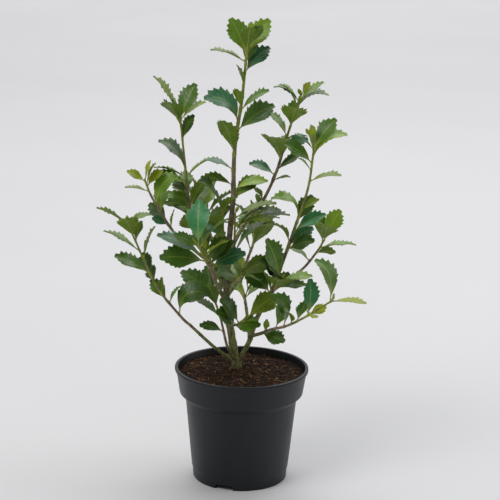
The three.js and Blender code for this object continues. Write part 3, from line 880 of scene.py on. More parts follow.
# The rings of a stem. Each has its age, from 0 at the foot to 1 at the tip, and greener at its scars.
def stem_rings(stem, start, end, step, scars, rough):
    count = max(2, round(stem["length"] * (end - start) / step))
    rings = []
    for i in range(count + 1):
        share = mix(start, end, i / count)
        centre = line_point(stem, share)
        rooted = share == 0 and "from" not in stem
        way = UP if rooted else line_way(stem, share)
        radius_at = bark_radius(stem, share, centre[2], scars, rough)
        if rooted:
            rings.append((centre - UP * ROOT_DEPTH, way, radius_at, 0.0))
        nearest = min((abs(share * stem["length"] - at) for at, _, _ in scars), default=math.inf)
        greener = SCAR_GREEN * share * math.exp(-((nearest / SCAR_GREEN_LENGTH) ** 2))
        rings.append((centre, way, radius_at, share + greener))
    return rings


# The rounded end of a shoot
def shoot_end(rings):
    centre, way, radius_at, age = rings[-1]
    for out, left in SHOOT_END:
        rings.append((centre + way * out, way, lambda angle, left=left: radius_at(angle) * left, age))


def make_limb(stem):
    shape = bmesh.new()
    age = shape.verts.layers.float.new("age")
    rings = stem_rings(stem, 0, stem["start"], LIMB_STEP, scars_of(stem), LIMB_ROUGH)
    tube(shape, rings, LIMB_SIDES, age)
    finished(stem["limb"] + "_wood", shape, [stem_bark], [stem["limb"]])


# The outline of the blade: its half width as a share of the widest, at a share of the leaf
def blade_width(share):
    along = min(max((share - BLADE_START) / (1 - BLADE_START), 0), 1)
    taper = 1 - BLADE_TAPER * smooth_step(BLADE_TAPER_FROM, 1, along)
    return math.sin(math.pi * along ** BLADE_WIDEST_PULL) * taper


# A folded blade with sharp teeth. Its root is open until the sheet gets its thickness.
def make_blade(shape, leaf, layers, tint):
    uv, tone = layers
    teeth = TEETH_LEAST + round(TEETH_MORE * min(leaf["length"] / LEAF_LENGTH, TEETH_LONGEST))
    along = FIRST_TOOTH + 2 * teeth
    sheet = sheet_of_quads(shape, along, BLADE_COLUMNS)
    fold = math.radians(LEAF_FOLD)
    step = (1 - BLADE_START) / along
    wave = detail.uniform(0, ANY_TURN)
    sharpness = detail.uniform(*TOOTH_REACH)
    puckers = [detail.uniform(*PUCKER) for _ in range(2 * along + 2)]
    places = {}
    for (i, j), vert in sheet.items():
        across = 1 - j / (BLADE_COLUMNS / 2)
        spread = abs(across)
        share = BLADE_START + i * step
        width = blade_width(share)
        reach = width * spread
        lift = 0
        pucker = puckers[2 * i + (across > 0)]
        toothed = j in (0, BLADE_COLUMNS) and FIRST_TOOTH < i < along
        if toothed and (i - FIRST_TOOTH) % 2 == 1:
            reach += sharpness * pucker * smooth_step(0, TOOTH_FADE, 1 - share + TOOTH_AT_TIP)
            share += step * TOOTH_FORWARD
            lift = TOOTH_LIFT * pucker
        elif toothed:
            reach *= DIP_REACH - DIP_DEPTH * pucker
            share += step * DIP_SHIFT * (pucker - DIP_PUCKER)
            lift = -DIP_DROP * pucker
        reach = max(reach, BLADE_LEAST_WIDTH * spread) if i < along else 0
        middle, _, side, face = leaf_section(leaf, min(share, 1), evenly=True)
        height = reach * math.sin(fold) - BLADE_DROOP * reach ** 2 + lift * width
        height += WAVE_HEIGHT * math.sin(wave + share * WAVE_PACE + across) * width * spread
        out = math.copysign(reach * math.cos(fold), across)
        point = middle + side * out * leaf["half"] * BLADE_BREADTH
        point = point + face * height * leaf["half"]
        vert.co = Vector(point * MM)
        vert[tone] = leaf["tone"]
        places[vert] = (i / along, j / BLADE_COLUMNS)
    made = {face for vert in sheet.values() for face in vert.link_faces}
    for face in made:
        face.material_index = tint
        for loop in face.loops:
            loop[uv].uv = places[loop.vert]
    tip = [sheet[along, j] for j in range(BLADE_COLUMNS + 1)]
    bmesh.ops.remove_doubles(shape, verts=tip, dist=WELD)


# The stalk of a leaf and the rib that runs on from it under the blade
def make_stalk(shape, leaf, age_layer):
    rings = []
    size = mix(STALK_SMALLEST, 1, leaf["size"])
    for i in range(STALK_STEPS + 1):
        share = RIB_TO * i / STALK_STEPS
        middle, way, _, face = leaf_section(leaf, share, evenly=True)
        stalk = mix(STALK_RADIUS, NECK_RADIUS, smooth_step(0, STALK_TO, share))
        radius = size * mix(stalk, RIB_RADIUS, smooth_step(RIB_FROM, RIB_TO, share))
        sunk = (radius * RIB_SUNK + RIB_GAP) * smooth_step(RIB_FROM, RIB_SUNK_TO, share)
        rings.append((middle - face * sunk, way, lambda angle, radius=radius: radius, share))
    tube(shape, rings, STALK_SIDES, age_layer)


# A pointed bud, from its length and half width
def make_bud(shape, centre, way, length, width):
    made = bmesh.ops.create_icosphere(shape, subdivisions=2, radius=1)["verts"]
    turn = Vector(way).to_track_quat("Z", "X").to_matrix()
    for vert in made:
        height = vert.co.z
        narrow = 1 - BUD_POINTED * smooth_step(BUD_SHOULDER, 1, height)
        local = Vector((vert.co.x * width * narrow, vert.co.y * width * narrow, height * length))
        vert.co = (Vector(centre) + turn @ local) * MM


# Finishes

class Finish:
    """A node material, with short calls that add its nodes and join them. The scale of a noise is
    about its number of lumps in a metre, and the distance of a bump is in metres."""

    def __init__(self, name):
        self.made = bpy.data.materials.new(name)
        self.made.use_nodes = True
        self.tree = self.made.node_tree
        self.shader = self.tree.nodes["Principled BSDF"]

    def node(self, kind, inputs=(), **settings):
        node = self.tree.nodes.new("ShaderNode" + kind)
        for key, value in settings.items():
            setattr(node, key, value)
        for socket, value in dict(inputs).items():
            self.put(node.inputs[socket], value)
        return node

    def put(self, socket, value):
        if isinstance(value, bpy.types.NodeSocket):
            self.tree.links.new(value, socket)
        else:
            socket.default_value = value

    def place(self):
        return self.node("TexCoord").outputs["Object"]

    def noise(self, scale, detail_level=3, roughness=0.55, stretch=()):
        vector = self.place()
        if stretch:
            vector = self.node("Mapping", {"Vector": vector, "Scale": stretch}).outputs["Vector"]
        inputs = {"Vector": vector, "Scale": scale, "Detail": detail_level, "Roughness": roughness}
        return self.node("TexNoise", inputs).outputs["Fac"]

    def spread(self, value, low, high, to_low=0.0, to_high=1.0):
        inputs = {"Value": value, "From Min": low, "From Max": high, "To Min": to_low, "To Max": to_high}
        return self.node("MapRange", inputs).outputs["Result"]

    def attribute(self, name):
        return self.node("Attribute", attribute_name=name).outputs["Fac"]

    def math(self, operation, a, b=0.0):
        node = self.node("Math", operation=operation)
        self.put(node.inputs[0], a)
        self.put(node.inputs[1], b)
        return node.outputs[0]

    # Inputs 6 and 7 and output 2 are the Mix node's colour sockets
    def blend(self, share, first, second):
        node = self.node("Mix", data_type="RGBA")
        self.put(node.inputs[0], share)
        self.put(node.inputs[6], first)
        self.put(node.inputs[7], second)
        return node.outputs[2]

    def ramp(self, value, stops):
        node = self.node("ValToRGB", {"Fac": value})
        elements = node.color_ramp.elements
        while len(elements) < len(stops):
            elements.new(0.5)
        for element, (place, colour) in zip(elements, stops):
            element.position = place
            element.color = colour
        return node.outputs["Color"]

    def bump(self, height, strength, distance, normal=None):
        inputs = {"Height": height, "Strength": strength, "Distance": distance}
        if normal is not None:
            inputs["Normal"] = normal
        return self.node("Bump", inputs).outputs["Normal"]

    def finish(self, colour, roughness, normal=None, **values):
        self.put(self.shader.inputs["Base Color"], colour)
        self.put(self.shader.inputs["Roughness"], roughness)
        if normal is not None:
            self.put(self.shader.inputs["Normal"], normal)
        for key, value in values.items():
            self.shader.inputs[key.replace("_", " ")].default_value = value
        return self.made


# A plain colour from its red, green and blue as seen on a screen, 0 to 255
def seen(red, green, blue):
    parts = []
    for part in (red, green, blue):
        share = part / 255
        parts.append(share / 12.92 if share < 0.04 else ((share + 0.055) / 1.055) ** 2.4)
    return (*parts, 1.0)


# Where a blade's veins are: masks that are 1 on the side veins and on the midrib, and the distance from
# the midrib and the place along the blade
def vein_mask(finish):
    split = finish.node("SeparateXYZ", {"Vector": finish.node("UVMap", uv_map="blade").outputs["UV"]})
    along, across = split.outputs["X"], split.outputs["Y"]
    off_rib = finish.math("ABSOLUTE", finish.math("SUBTRACT", across, 0.5))
    rows = finish.math("MULTIPLY", along, VEIN_ROWS)
    slanted = finish.math("SUBTRACT", rows, finish.math("MULTIPLY", off_rib, VEIN_SLANT))
    fraction = finish.math("PINGPONG", slanted, 0.5)
    side_veins = finish.spread(fraction, 0.0, 0.09, 1.0, 0.0)
    side_veins = finish.math("MULTIPLY", side_veins, finish.spread(off_rib, 0.3, 0.47, 1.0, 0.0))
    rib = finish.spread(off_rib, 0.012, 0.05, 1.0, 0.0)
    return side_veins, rib, off_rib, along


# The upper side of a blade, from the darker and the lighter colour of its tint
def upper_finish(name, dark, light, vein, gloss):
    finish = Finish(name)
    side_veins, rib, off_rib, along = vein_mask(finish)
    tone = finish.attribute("tone")
    patches = finish.spread(finish.noise(95, 3, 0.6), 0.3, 0.7, -0.2, 0.2)
    shade = finish.math("ADD", tone, patches)
    colour = finish.blend(finish.spread(shade, 0.0, 1.0), dark, light)
    fine = finish.noise(620, 3, 0.6)
    colour = finish.blend(finish.spread(fine, 0.35, 0.75, 0.0, 0.25), colour, light)
    colour = finish.blend(finish.math("MULTIPLY", side_veins, 0.16), colour, vein)
    colour = finish.blend(finish.math("MULTIPLY", rib, 0.5), colour, vein)
    near_root = finish.spread(along, 0.0, 0.34, 0.85, 0.0)
    near_rib = finish.spread(off_rib, 0.0, 0.5, 1.0, 0.45)
    colour = finish.blend(finish.math("MULTIPLY", near_root, near_rib), colour, vein)
    margin = finish.spread(off_rib, 0.455, 0.5, 0.0, 0.45)
    colour = finish.blend(margin, colour, vein)
    relief = finish.math("SUBTRACT", finish.math("MULTIPLY", fine, 0.35), side_veins)
    normal = finish.bump(relief, 0.5, 0.0004)
    normal = finish.bump(finish.noise(160, 2, 0.5), 0.35, 0.0012, normal)
    rough = finish.spread(finish.noise(210, 3, 0.6), 0.3, 0.7, gloss - 0.06, gloss + 0.1)
    return finish.finish(
        colour, rough, normal, Specular_IOR_Level=0.38, Coat_Weight=0.08, Coat_Roughness=0.25,
    )


# The paler, duller underside
def under_finish(name, dark, light, vein):
    finish = Finish(name)
    side_veins, rib, _, _ = vein_mask(finish)
    tone = finish.attribute("tone")
    shade = finish.math("ADD", tone, finish.spread(finish.noise(120, 3, 0.6), 0.3, 0.7, -0.25, 0.25))
    colour = finish.blend(finish.spread(shade, 0.0, 1.0), dark, light)
    colour = finish.blend(finish.math("MULTIPLY", side_veins, 0.35), colour, vein)
    colour = finish.blend(finish.math("MULTIPLY", rib, 0.8), colour, vein)
    net = finish.node("TexVoronoi", {"Vector": finish.place(), "Scale": 700.0}, feature="DISTANCE_TO_EDGE")
    relief = finish.math("ADD", side_veins, finish.spread(net.outputs["Distance"], 0.0, 0.2, 0.4, 0.0))
    normal = finish.bump(relief, 0.4, 0.0003)
    rough = finish.spread(finish.noise(260, 3, 0.6), 0.3, 0.7, 0.5, 0.68)
    return finish.finish(colour, rough, normal)


# Stem bark: mottled olive grey at the foot, purple brown in the middle and green towards the tips
def bark_finish():
    finish = Finish("stem_bark")
    age = finish.attribute("age")
    streaks = finish.noise(260, 4, 0.65, (1.0, 1.0, 0.3))
    specks = finish.noise(900, 3, 0.7)
    low = finish.ramp(streaks, [
        (0.28, seen(64, 62, 36)), (0.42, seen(114, 114, 64)),
        (0.56, seen(146, 144, 94)), (0.76, seen(184, 178, 142)),
    ])
    mossy = finish.ramp(streaks, [(0.3, seen(102, 116, 44)), (0.7, seen(160, 170, 88))])
    middle = finish.ramp(streaks, [
        (0.28, seen(84, 68, 56)), (0.5, seen(130, 110, 90)), (0.75, seen(168, 152, 128)),
    ])
    green = finish.ramp(streaks, [
        (0.28, seen(106, 118, 34)), (0.55, seen(146, 156, 54)), (0.78, seen(176, 180, 86)),
    ])
    patches = finish.spread(finish.noise(130, 3, 0.6, (1.0, 1.0, 0.5)), 0.46, 0.62, 0.0, 0.75)
    low = finish.blend(patches, low, mossy)
    mottled = finish.math("ADD", age, finish.spread(streaks, 0.3, 0.7, -0.1, 0.1))
    colour = finish.blend(finish.spread(mottled, 0.26, 0.5), low, middle)
    colour = finish.blend(finish.spread(mottled, 0.7, 0.94), colour, green)
    dots = finish.spread(specks, 0.66, 0.74, 0.0, 0.5)
    colour = finish.blend(dots, colour, seen(176, 166, 140))
    warts = finish.noise(340, 4, 0.7, (1.0, 1.0, 0.6))
    hollows = finish.spread(warts, 0.38, 0.48, 0.85, 0.0)
    hollows = finish.math("MULTIPLY", hollows, finish.spread(age, 0.4, 0.8, 1.0, 0.3))
    colour = finish.blend(hollows, colour, seen(48, 42, 30))
    height = finish.node("SeparateXYZ", {"Vector": finish.place()}).outputs["Z"]
    # Painted shade: the bark darkens in streaks towards the soil, where the trunk goes into it
    darkening = finish.spread(height, SOIL_TOP * MM, (SOIL_TOP + FOOT_SHADE_HEIGHT) * MM, 0.8, 0.0)
    colour = finish.blend(finish.math("MULTIPLY", darkening, streaks), colour, seen(34, 24, 18))
    normal = finish.bump(streaks, 0.9, 0.0012)
    normal = finish.bump(warts, 0.5, 0.0009, normal)
    normal = finish.bump(specks, 0.45, 0.0004, normal)
    rough = finish.spread(streaks, 0.3, 0.8, 0.62, 0.9)
    return finish.finish(colour, rough, normal)


# The pale yellow-green of leaf stalks and ribs
def stalk_finish():
    finish = Finish("leaf_stalk")
    age = finish.attribute("age")
    mottle = finish.noise(380, 3, 0.6)
    near = finish.ramp(mottle, [(0.3, seen(146, 152, 52)), (0.7, seen(190, 192, 96))])
    far = finish.ramp(mottle, [(0.3, seen(110, 136, 60)), (0.7, seen(152, 170, 98))])
    colour = finish.blend(finish.spread(age, 0.08, 0.45), near, far)
    normal = finish.bump(mottle, 0.3, 0.0003)
    return finish.finish(colour, finish.spread(mottle, 0.3, 0.7, 0.42, 0.58), normal)


def bud_finish():
    finish = Finish("bud_scales")
    mottle = finish.noise(700, 3, 0.6)
    shades = [(0.3, seen(120, 130, 48)), (0.55, seen(168, 170, 76)), (0.75, seen(168, 128, 74))]
    rough = finish.spread(mottle, 0.3, 0.7, 0.45, 0.62)
    return finish.finish(finish.ramp(mottle, shades), rough, finish.bump(mottle, 0.4, 0.0003))


def pot_finish():
    finish = Finish("pot_plastic")
    flow = finish.noise(26, 3, 0.55, (1.0, 1.0, 0.25))
    grain = finish.noise(1500, 2, 0.5)
    dust = finish.noise(70, 5, 0.7)
    colour = finish.ramp(flow, [(0.3, seen(16, 21, 26)), (0.7, seen(24, 30, 36))])
    colour = finish.blend(finish.spread(dust, 0.58, 0.8, 0.0, 0.08), colour, seen(90, 90, 88))
    normal = finish.bump(grain, 0.16, 0.0002)
    normal = finish.bump(flow, 0.14, 0.002, normal)
    rough = finish.spread(finish.math("ADD", flow, finish.math("MULTIPLY", dust, 0.5)), 0.5, 1.0, 0.36, 0.5)
    return finish.finish(colour, rough, normal, Specular_IOR_Level=0.36)


def soil_finish(name, dark, middle, light):
    finish = Finish(name)
    crumbs = finish.noise(420, 5, 0.7)
    darkening = finish.noise(90, 4, 0.65)
    colour = finish.ramp(crumbs, [(0.3, dark), (0.52, middle), (0.74, light)])
    colour = finish.blend(finish.spread(darkening, 0.44, 0.58, 0.0, 0.7), colour, dark)
    normal = finish.bump(crumbs, 0.9, 0.0016)
    rough = finish.spread(crumbs, 0.3, 0.7, 0.85, 0.98)
    return finish.finish(colour, rough, normal, Specular_IOR_Level=0.15)


def chip_finish(name, dark, light):
    finish = Finish(name)
    fibre = finish.noise(520, 4, 0.65, (1.0, 0.35, 1.0))
    colour = finish.ramp(fibre, [(0.3, seen(*dark)), (0.7, seen(*light))])
    normal = finish.bump(fibre, 0.7, 0.0007)
    rough = finish.spread(fibre, 0.3, 0.7, 0.7, 0.9)
    return finish.finish(colour, rough, normal, Specular_IOR_Level=0.2)


def floor_finish():
    finish = Finish("studio_floor")
    cloud = finish.noise(1.3, 2, 0.5)
    colour = finish.ramp(cloud, [(0.3, seen(224, 224, 226)), (0.7, seen(227, 227, 229))])
    return finish.finish(colour, finish.spread(cloud, 0.3, 0.7, 0.8, 0.9))


stem_bark = bark_finish()
leaf_stalk = stalk_finish()
bud_scales = bud_finish()

# Leaf tints by letter: the name, the darker and the lighter colour, the veins' colour and the roughness
UPPER_TINTS = {
    "d": ("leaf_deep", seen(34, 68, 16), seen(82, 122, 38), seen(144, 164, 62), 0.34),
    "b": ("leaf_blue_green", seen(24, 74, 44), seen(66, 130, 82), seen(140, 174, 100), 0.34),
    "g": ("leaf_green", seen(60, 104, 18), seen(114, 154, 38), seen(174, 188, 70), 0.36),
    "t": ("leaf_teal", seen(34, 104, 56), seen(70, 150, 90), seen(176, 202, 112), 0.34),
    "f": ("leaf_fresh", seen(94, 138, 16), seen(146, 178, 36), seen(194, 204, 74), 0.38),
    "o": ("leaf_olive", seen(84, 114, 12), seen(128, 152, 30), seen(174, 184, 68), 0.42),
    "y": ("leaf_young", seen(124, 146, 10), seen(178, 188, 40), seen(208, 208, 88), 0.42),
}
olive_under = under_finish("leaf_under_olive", seen(82, 114, 14), seen(126, 152, 34), seen(164, 182, 74))
young_under = under_finish("leaf_under_young", seen(124, 148, 16), seen(176, 188, 44), seen(200, 206, 92))

# The upper and under finish of each tint
TINTS = {
    letter: (upper_finish(*values), young_under if letter == "y" else olive_under)
    for letter, values in UPPER_TINTS.items()
}


# The tints of leaves that have none of their own, each with the draw that it starts above
USUAL_TINTS = (("o", 0.95), ("f", 0.7), ("g", 0.42))
TINT_CLIMB = 0.5


# The tint of a leaf that has none of its own: yellower when young, deepest low on its stem
def usual_tint(leaf):
    if leaf["habit"] == "young":
        return "y"
    pick = detail.random() + (leaf["at"] - 0.5) * TINT_CLIMB
    return next((tint for tint, above in USUAL_TINTS if pick > above), "d")


# The plant

stalks = bmesh.new()
stalk_age = stalks.verts.layers.float.new("age")
shoots = bmesh.new()
shoot_age = shoots.verts.layers.float.new("age")
buds = bmesh.new()

for row in STEMS:
    if "limb" in row:
        make_limb(row)


# Whether spots in millimetres stay within the reach of a foliage mass, give or take a margin
def within_reach(stem, spots, margin):
    low, high = (np.array(corner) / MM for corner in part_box(stem["foliage"]))
    spots = np.array(spots)
    return bool((spots > low - margin).all() and (spots < high + margin).all())


# A small leaf, where it clears the others and stays within the reach of the mass, or none
def small_leaf(stem, shoot, at, heading, sizes):
    leaf = placed_leaf(shoot, "young", [at, heading, detail.uniform(*sizes)])
    return leaf if leaf and within_reach(stem, leaf["points"], REACH_MARGIN) else None


# Small leaves in a tuft at the tip of a shoot
def tip_tuft(stem):
    turn = detail.uniform(0, 360)
    for i in range(TUFT_LEAVES):
        leaf = small_leaf(stem, stem, 1, turn + 360 / TUFT_LEAVES * i, TUFT_LEAF_SIZE)
        if leaf:
            leaf["tint"] = "y"
            stem["kept"].append(leaf)


# A short side twig in the angle of a leaf, with a few small leaves of its own
def side_twig(stem, leaf):
    way = unit(leaf["ways"][0] * TWIG_OUT + leaf["face"] * TWIG_UP)
    foot = leaf["points"][0]
    length = detail.uniform(*TWIG_LENGTH)
    bend = unit(way + UP * TWIG_BEND)
    twig = {
        "number": stem["number"], "from": stem["foliage"], "foot": TWIG_RADII[0], "tip": TWIG_RADII[1],
        "line": np.array([foot, foot + way * length * 0.5, foot + unit(way + bend) * length]), "start": 0,
    }
    twig["length"] = line_length(twig)
    turn = detail.uniform(0, 360)
    if not within_reach(stem, twig["line"], -TWIG_INSET):
        return []
    small = []
    for i, at in enumerate(TWIG_LEAF_PLACES):
        found = small_leaf(stem, twig, at, turn + TWIG_LEAF_TURN * i, TWIG_LEAF_SIZE)
        if found:
            found["tint"] = "y" if detail.random() < TWIG_YOUNG_SHARE else "f"
            small.append(found)
    if len(small) < TWIG_LEAST_LEAVES:
        return []
    rings = stem_rings(twig, 0, 1, TWIG_STEP, [], TWIG_ROUGH)
    shoot_end(rings)
    young = [(centre, way, radius_at, TWIG_AGE) for centre, way, radius_at, _ in rings]
    tube(shoots, young, TWIG_SIDES, shoot_age)
    return small


# The shoot of a foliage mass, with a scar under each of its leaves and a bud at its tip
def make_shoot(stem):
    scars = []
    for leaf in stem["kept"]:
        across, along, _ = leaf["ways"][0]
        scars.append((leaf["share"] * stem["length"], math.atan2(along, across), SHOOT_SCAR_SWELL))
    start = max(stem["start"] - SHOOT_OVERLAP, 0)
    rings = stem_rings(stem, start, 1, SHOOT_STEP, scars, SHOOT_ROUGH)
    shoot_end(rings)
    tube(shoots, rings, SHOOT_SIDES, shoot_age)
    centre, way, _, _ = rings[-1]
    make_bud(buds, centre, way, *TIP_BUD)


# The leaves of a foliage mass, with their stalks, and a bud above each full leaf
def make_leaves(stem):
    shape = bmesh.new()
    layers = (shape.loops.layers.uv.new("blade"), shape.verts.layers.float.new("tone"))
    for leaf in stem["kept"]:
        leaf["tint"] = leaf["tint"] or usual_tint(leaf)
        leaf["tone"] = detail.uniform(*BLADE_TONE)
    letters = sorted({leaf["tint"] for leaf in stem["kept"]})
    for leaf in stem["kept"]:
        make_blade(shape, leaf, layers, letters.index(leaf["tint"]))
        make_stalk(stalks, leaf, stalk_age)
        if leaf["size"] > BUD_LEAF_SIZE:
            foot = leaf["points"][0]
            way = unit(leaf["ways"][0] + leaf["face"] * BUD_UP)
            reach = stem_radius(stem, leaf["share"], foot[2]) + BUD_LIFT
            make_bud(buds, foot + way * reach, way, *SIDE_BUD)
    for edge in shape.edges:
        edge.smooth = not edge.is_boundary
    finishes = [TINTS[letter][side] for side in (0, 1) for letter in letters]
    name = stem["foliage"].replace("_foliage", "").replace("_spray", "_side") + "_leaves"
    piece = finished(name, shape, finishes, [stem["foliage"]])
    wall = piece.modifiers.new("blade_thickness", "SOLIDIFY")
    wall.thickness = BLADE_THICKNESS * MM
    wall.offset = -1
    wall.material_offset = len(letters)
    wall.material_offset_rim = len(letters)


for row in STEMS:
    main_leaves = list(row["kept"])
    tip_tuft(row)
    for leaf in main_leaves[TWIG_OFFSET::TWIG_EVERY]:
        row["kept"].extend(side_twig(row, leaf))

for row in STEMS:
    make_shoot(row)
    make_leaves(row)

finished("leaf_stalks", stalks, [leaf_stalk])
finished("green_shoots", shoots, [stem_bark])
finished("leaf_buds", buds, [bud_scales])


# The pot and its soil

# A shape turned round the upright axis from a chain of (radius, height) in millimetres
def turned(profile, sides):
    shape = bmesh.new()
    verts = [shape.verts.new((radius * MM, 0, height * MM)) for radius, height in profile]
    edges = [shape.edges.new(pair) for pair in zip(verts, verts[1:])]
    bmesh.ops.spin(
        shape, geom=verts + edges, axis=(0, 0, 1), cent=(0, 0, 0), angle=2 * math.pi,
        steps=sides, use_merge=True,
    )
    bmesh.ops.remove_doubles(shape, verts=shape.verts[:], dist=POLE_WELD)
    bmesh.ops.recalc_face_normals(shape, faces=shape.faces[:])
    return shape


# The edges that run round a turned shape and are sharper than an angle
def ring_edges(shape, sharper_than):
    found = []
    for edge in shape.edges:
        a, b = (vert.co for vert in edge.verts)
        level = abs(a.z - b.z) < CLOSE and abs(a.xy.length - b.xy.length) < CLOSE
        if level and edge.is_manifold and edge.calc_face_angle() > math.radians(sharper_than):
            found.append(edge)
    return found


def round_edges(shape, edges, radius, steps):
    bmesh.ops.bevel(
        shape, geom=edges, offset=radius * MM, offset_type="OFFSET", segments=steps, profile=0.5,
        affect="EDGES", material=-1, clamp_overlap=True,
    )


def body_radius(height):
    share = (height - STEP_HEIGHT) / (COLLAR_FOOT - COLLAR_CHAMFER - STEP_HEIGHT)
    return mix(BODY_FOOT_RADIUS, BODY_TOP_RADIUS, share)


# The inside of the pot from the floor to the rim, moved inwards by inset
def inside_profile(inset):
    chamfer_foot = COLLAR_FOOT - COLLAR_CHAMFER
    return [
        (BASE_RADIUS - POT_WALL - inset, POT_FLOOR + inset),
        (body_radius(STEP_HEIGHT) - POT_WALL - inset, STEP_HEIGHT),
        (body_radius(chamfer_foot) - POT_WALL - inset, chamfer_foot + POT_WALL / 2),
        (COLLAR_RADIUS - POT_WALL - inset, COLLAR_FOOT + POT_WALL / 2),
    ]


# Blocks that cut the drain notches, with their upper corners rounded
def notch_cutters():
    cutters = bmesh.new()
    length = NOTCH_DEPTH * 2 * MM
    for i in range(NOTCH_COUNT):
        angle = math.radians(NOTCH_ANGLE + 360 / NOTCH_COUNT * i)
        place = Matrix.Rotation(angle, 4, "Z") @ Matrix.Translation((BASE_RADIUS * MM, 0, 0))
        size = Matrix.Diagonal((length, NOTCH_WIDTH * MM, NOTCH_HEIGHT * 2 * MM, 1))
        made = bmesh.ops.create_cube(cutters, size=1, matrix=place @ size)["verts"]
        edges = {edge for vert in made for edge in vert.link_edges}
        upper = [edge for edge in edges if min(vert.co.z for vert in edge.verts) > 0]
        long_ways = [edge for edge in upper if abs(edge.calc_length() - length) < CLOSE]
        round_edges(cutters, long_ways, NOTCH_ROUND, NOTCH_ROUND_STEPS)
    return add_to_scene("notch_cutters", mesh_of("notch_cutters", cutters))


def make_pot():
    lip_foot = POT_HEIGHT - LIP_HEIGHT
    wall_top = RIM_RADIUS - LIP_OVERHANG
    outside = [
        (0, 0), (BASE_RADIUS, 0), (BODY_FOOT_RADIUS - STEP_DEPTH, STEP_HEIGHT - STEP_DEPTH / 2),
        (BODY_FOOT_RADIUS, STEP_HEIGHT + STEP_DEPTH / 2), (BODY_TOP_RADIUS, COLLAR_FOOT - COLLAR_CHAMFER),
        (COLLAR_RADIUS, COLLAR_FOOT), (wall_top, lip_foot), (RIM_RADIUS, lip_foot + LIP_SLOPE),
        (RIM_RADIUS, POT_HEIGHT), (wall_top - POT_WALL, POT_HEIGHT),
    ]
    shape = turned([*outside, *reversed(inside_profile(0)), (0, POT_FLOOR)], POT_SIDES)
    round_edges(shape, ring_edges(shape, ROUNDED_OVER), EDGE_ROUND, EDGE_ROUND_STEPS)
    piece = finished("nursery_pot", shape, [pot_finish()], ["pot"])
    cutter = notch_cutters()
    cut = piece.modifiers.new("drain_notches", "BOOLEAN")
    cut.operation = "DIFFERENCE"
    cut.solver = "EXACT"
    cut.object = cutter
    bpy.context.view_layer.update()
    whole = piece.evaluated_get(bpy.context.evaluated_depsgraph_get())
    result = bpy.data.meshes.new_from_object(whole)
    piece.modifiers.clear()
    piece.data = result
    bpy.data.objects.remove(cutter)
    for edge in result.edges:
        edge.use_edge_sharp = False
    result.set_sharp_from_angle(angle=math.radians(SHARP_OVER))


# The height of the soil at a place, with its crumbs and hollows, heaped round the trunk
def soil_height(x, y):
    radius = math.hypot(x, y)
    trunk_x, trunk_y = STEMS[0]["points"][0][:2]
    heap = HEAP_HEIGHT * math.exp(-((math.hypot(x - trunk_x, y - trunk_y) / HEAP_WIDTH) ** 2))
    slope = SOIL_EDGE_DROP * smooth_step(SLOPE_FROM, SLOPE_TO, radius) - heap
    height = SOIL_TOP - slope - SOIL_DIP
    for width, layer, rise in SOIL_LUMPS:
        height += noise.noise(Vector((x / width, y / width, layer))) * rise
    return height


def make_soil():
    wall = inside_profile(GAP)
    edge = SOIL_TOP - SOIL_EDGE_DROP
    share = (edge - COLLAR_FOOT) / (POT_HEIGHT - COLLAR_FOOT)
    edge_radius = mix(COLLAR_RADIUS, RIM_RADIUS - LIP_OVERHANG, share) - POT_WALL - GAP
    top = [(edge_radius * (1 - i / SOIL_RINGS), edge) for i in range(SOIL_RINGS + 1)]
    shape = turned([(0, POT_FLOOR + GAP), *wall, *top], SOIL_SIDES)
    for vert in shape.verts:
        x, y, z = vert.co / MM
        if z > edge - 0.5:
            vert.co.z = soil_height(x, y) * MM
    looks = soil_finish("dark_peat", seen(12, 6, 3), seen(46, 29, 18), seen(100, 68, 44))
    finished("peat_soil", shape, [looks], ["soil"])


def litter_finishes(rows):
    return [chip_finish(name, dark, light) for name, (dark, light, _) in rows.items()]


# The number of one of the finishes, drawn by how often each comes
def dealt_finish(rows):
    return detail.choices(range(len(rows)), [often for _, _, often in rows.values()])[0]


# A random place within a radius round the middle of the pot
def place_within(radius):
    reach = radius * math.sqrt(detail.random())
    angle = detail.uniform(0, 2 * math.pi)
    return reach * math.cos(angle), reach * math.sin(angle)


# The length, width and thickness of a chip or a crumb
def litter_size(crumb):
    length = detail.uniform(*(CRUMB_LENGTH if crumb else CHIP_LENGTH))
    width = length * detail.uniform(*(CRUMB_WIDTH if crumb else CHIP_WIDTH))
    thickness = width * (CRUMB_THICKNESS if crumb else detail.uniform(*CHIP_THICKNESS))
    return length, width, thickness


# Bark chips and crumbs lying on the soil
def make_chips():
    shape = bmesh.new()
    for number in range(CHIP_COUNT + CRUMB_COUNT):
        x, y = place_within(LITTER_REACH)
        sizes = litter_size(number >= CHIP_COUNT)
        if math.hypot(x, y) + sizes[0] > LITTER_EDGE:
            continue
        made = bmesh.ops.create_icosphere(shape, subdivisions=1, radius=0.5)["verts"]
        pitch = Matrix.Rotation(detail.uniform(-LITTER_PITCH, LITTER_PITCH), 3, "Y")
        roll = Matrix.Rotation(detail.uniform(-LITTER_ROLL, LITTER_ROLL), 3, "X")
        spin = Matrix.Rotation(detail.uniform(0, ANY_TURN), 3, "Z") @ pitch @ roll
        centre = Vector((x, y, soil_height(x, y) + sizes[2] * LITTER_LIFT))
        for vert in made:
            rough = [detail.uniform(*LITTER_ROUGH) for _ in range(3)]
            local = Vector(part * size * share for part, size, share in zip(vert.co, sizes, rough))
            vert.co = (centre + spin @ local) * MM
        kind = dealt_finish(CHIP_FINISHES)
        for face in {face for vert in made for face in vert.link_faces}:
            face.material_index = kind
    finished("bark_chips", shape, litter_finishes(CHIP_FINISHES), smooth=False)


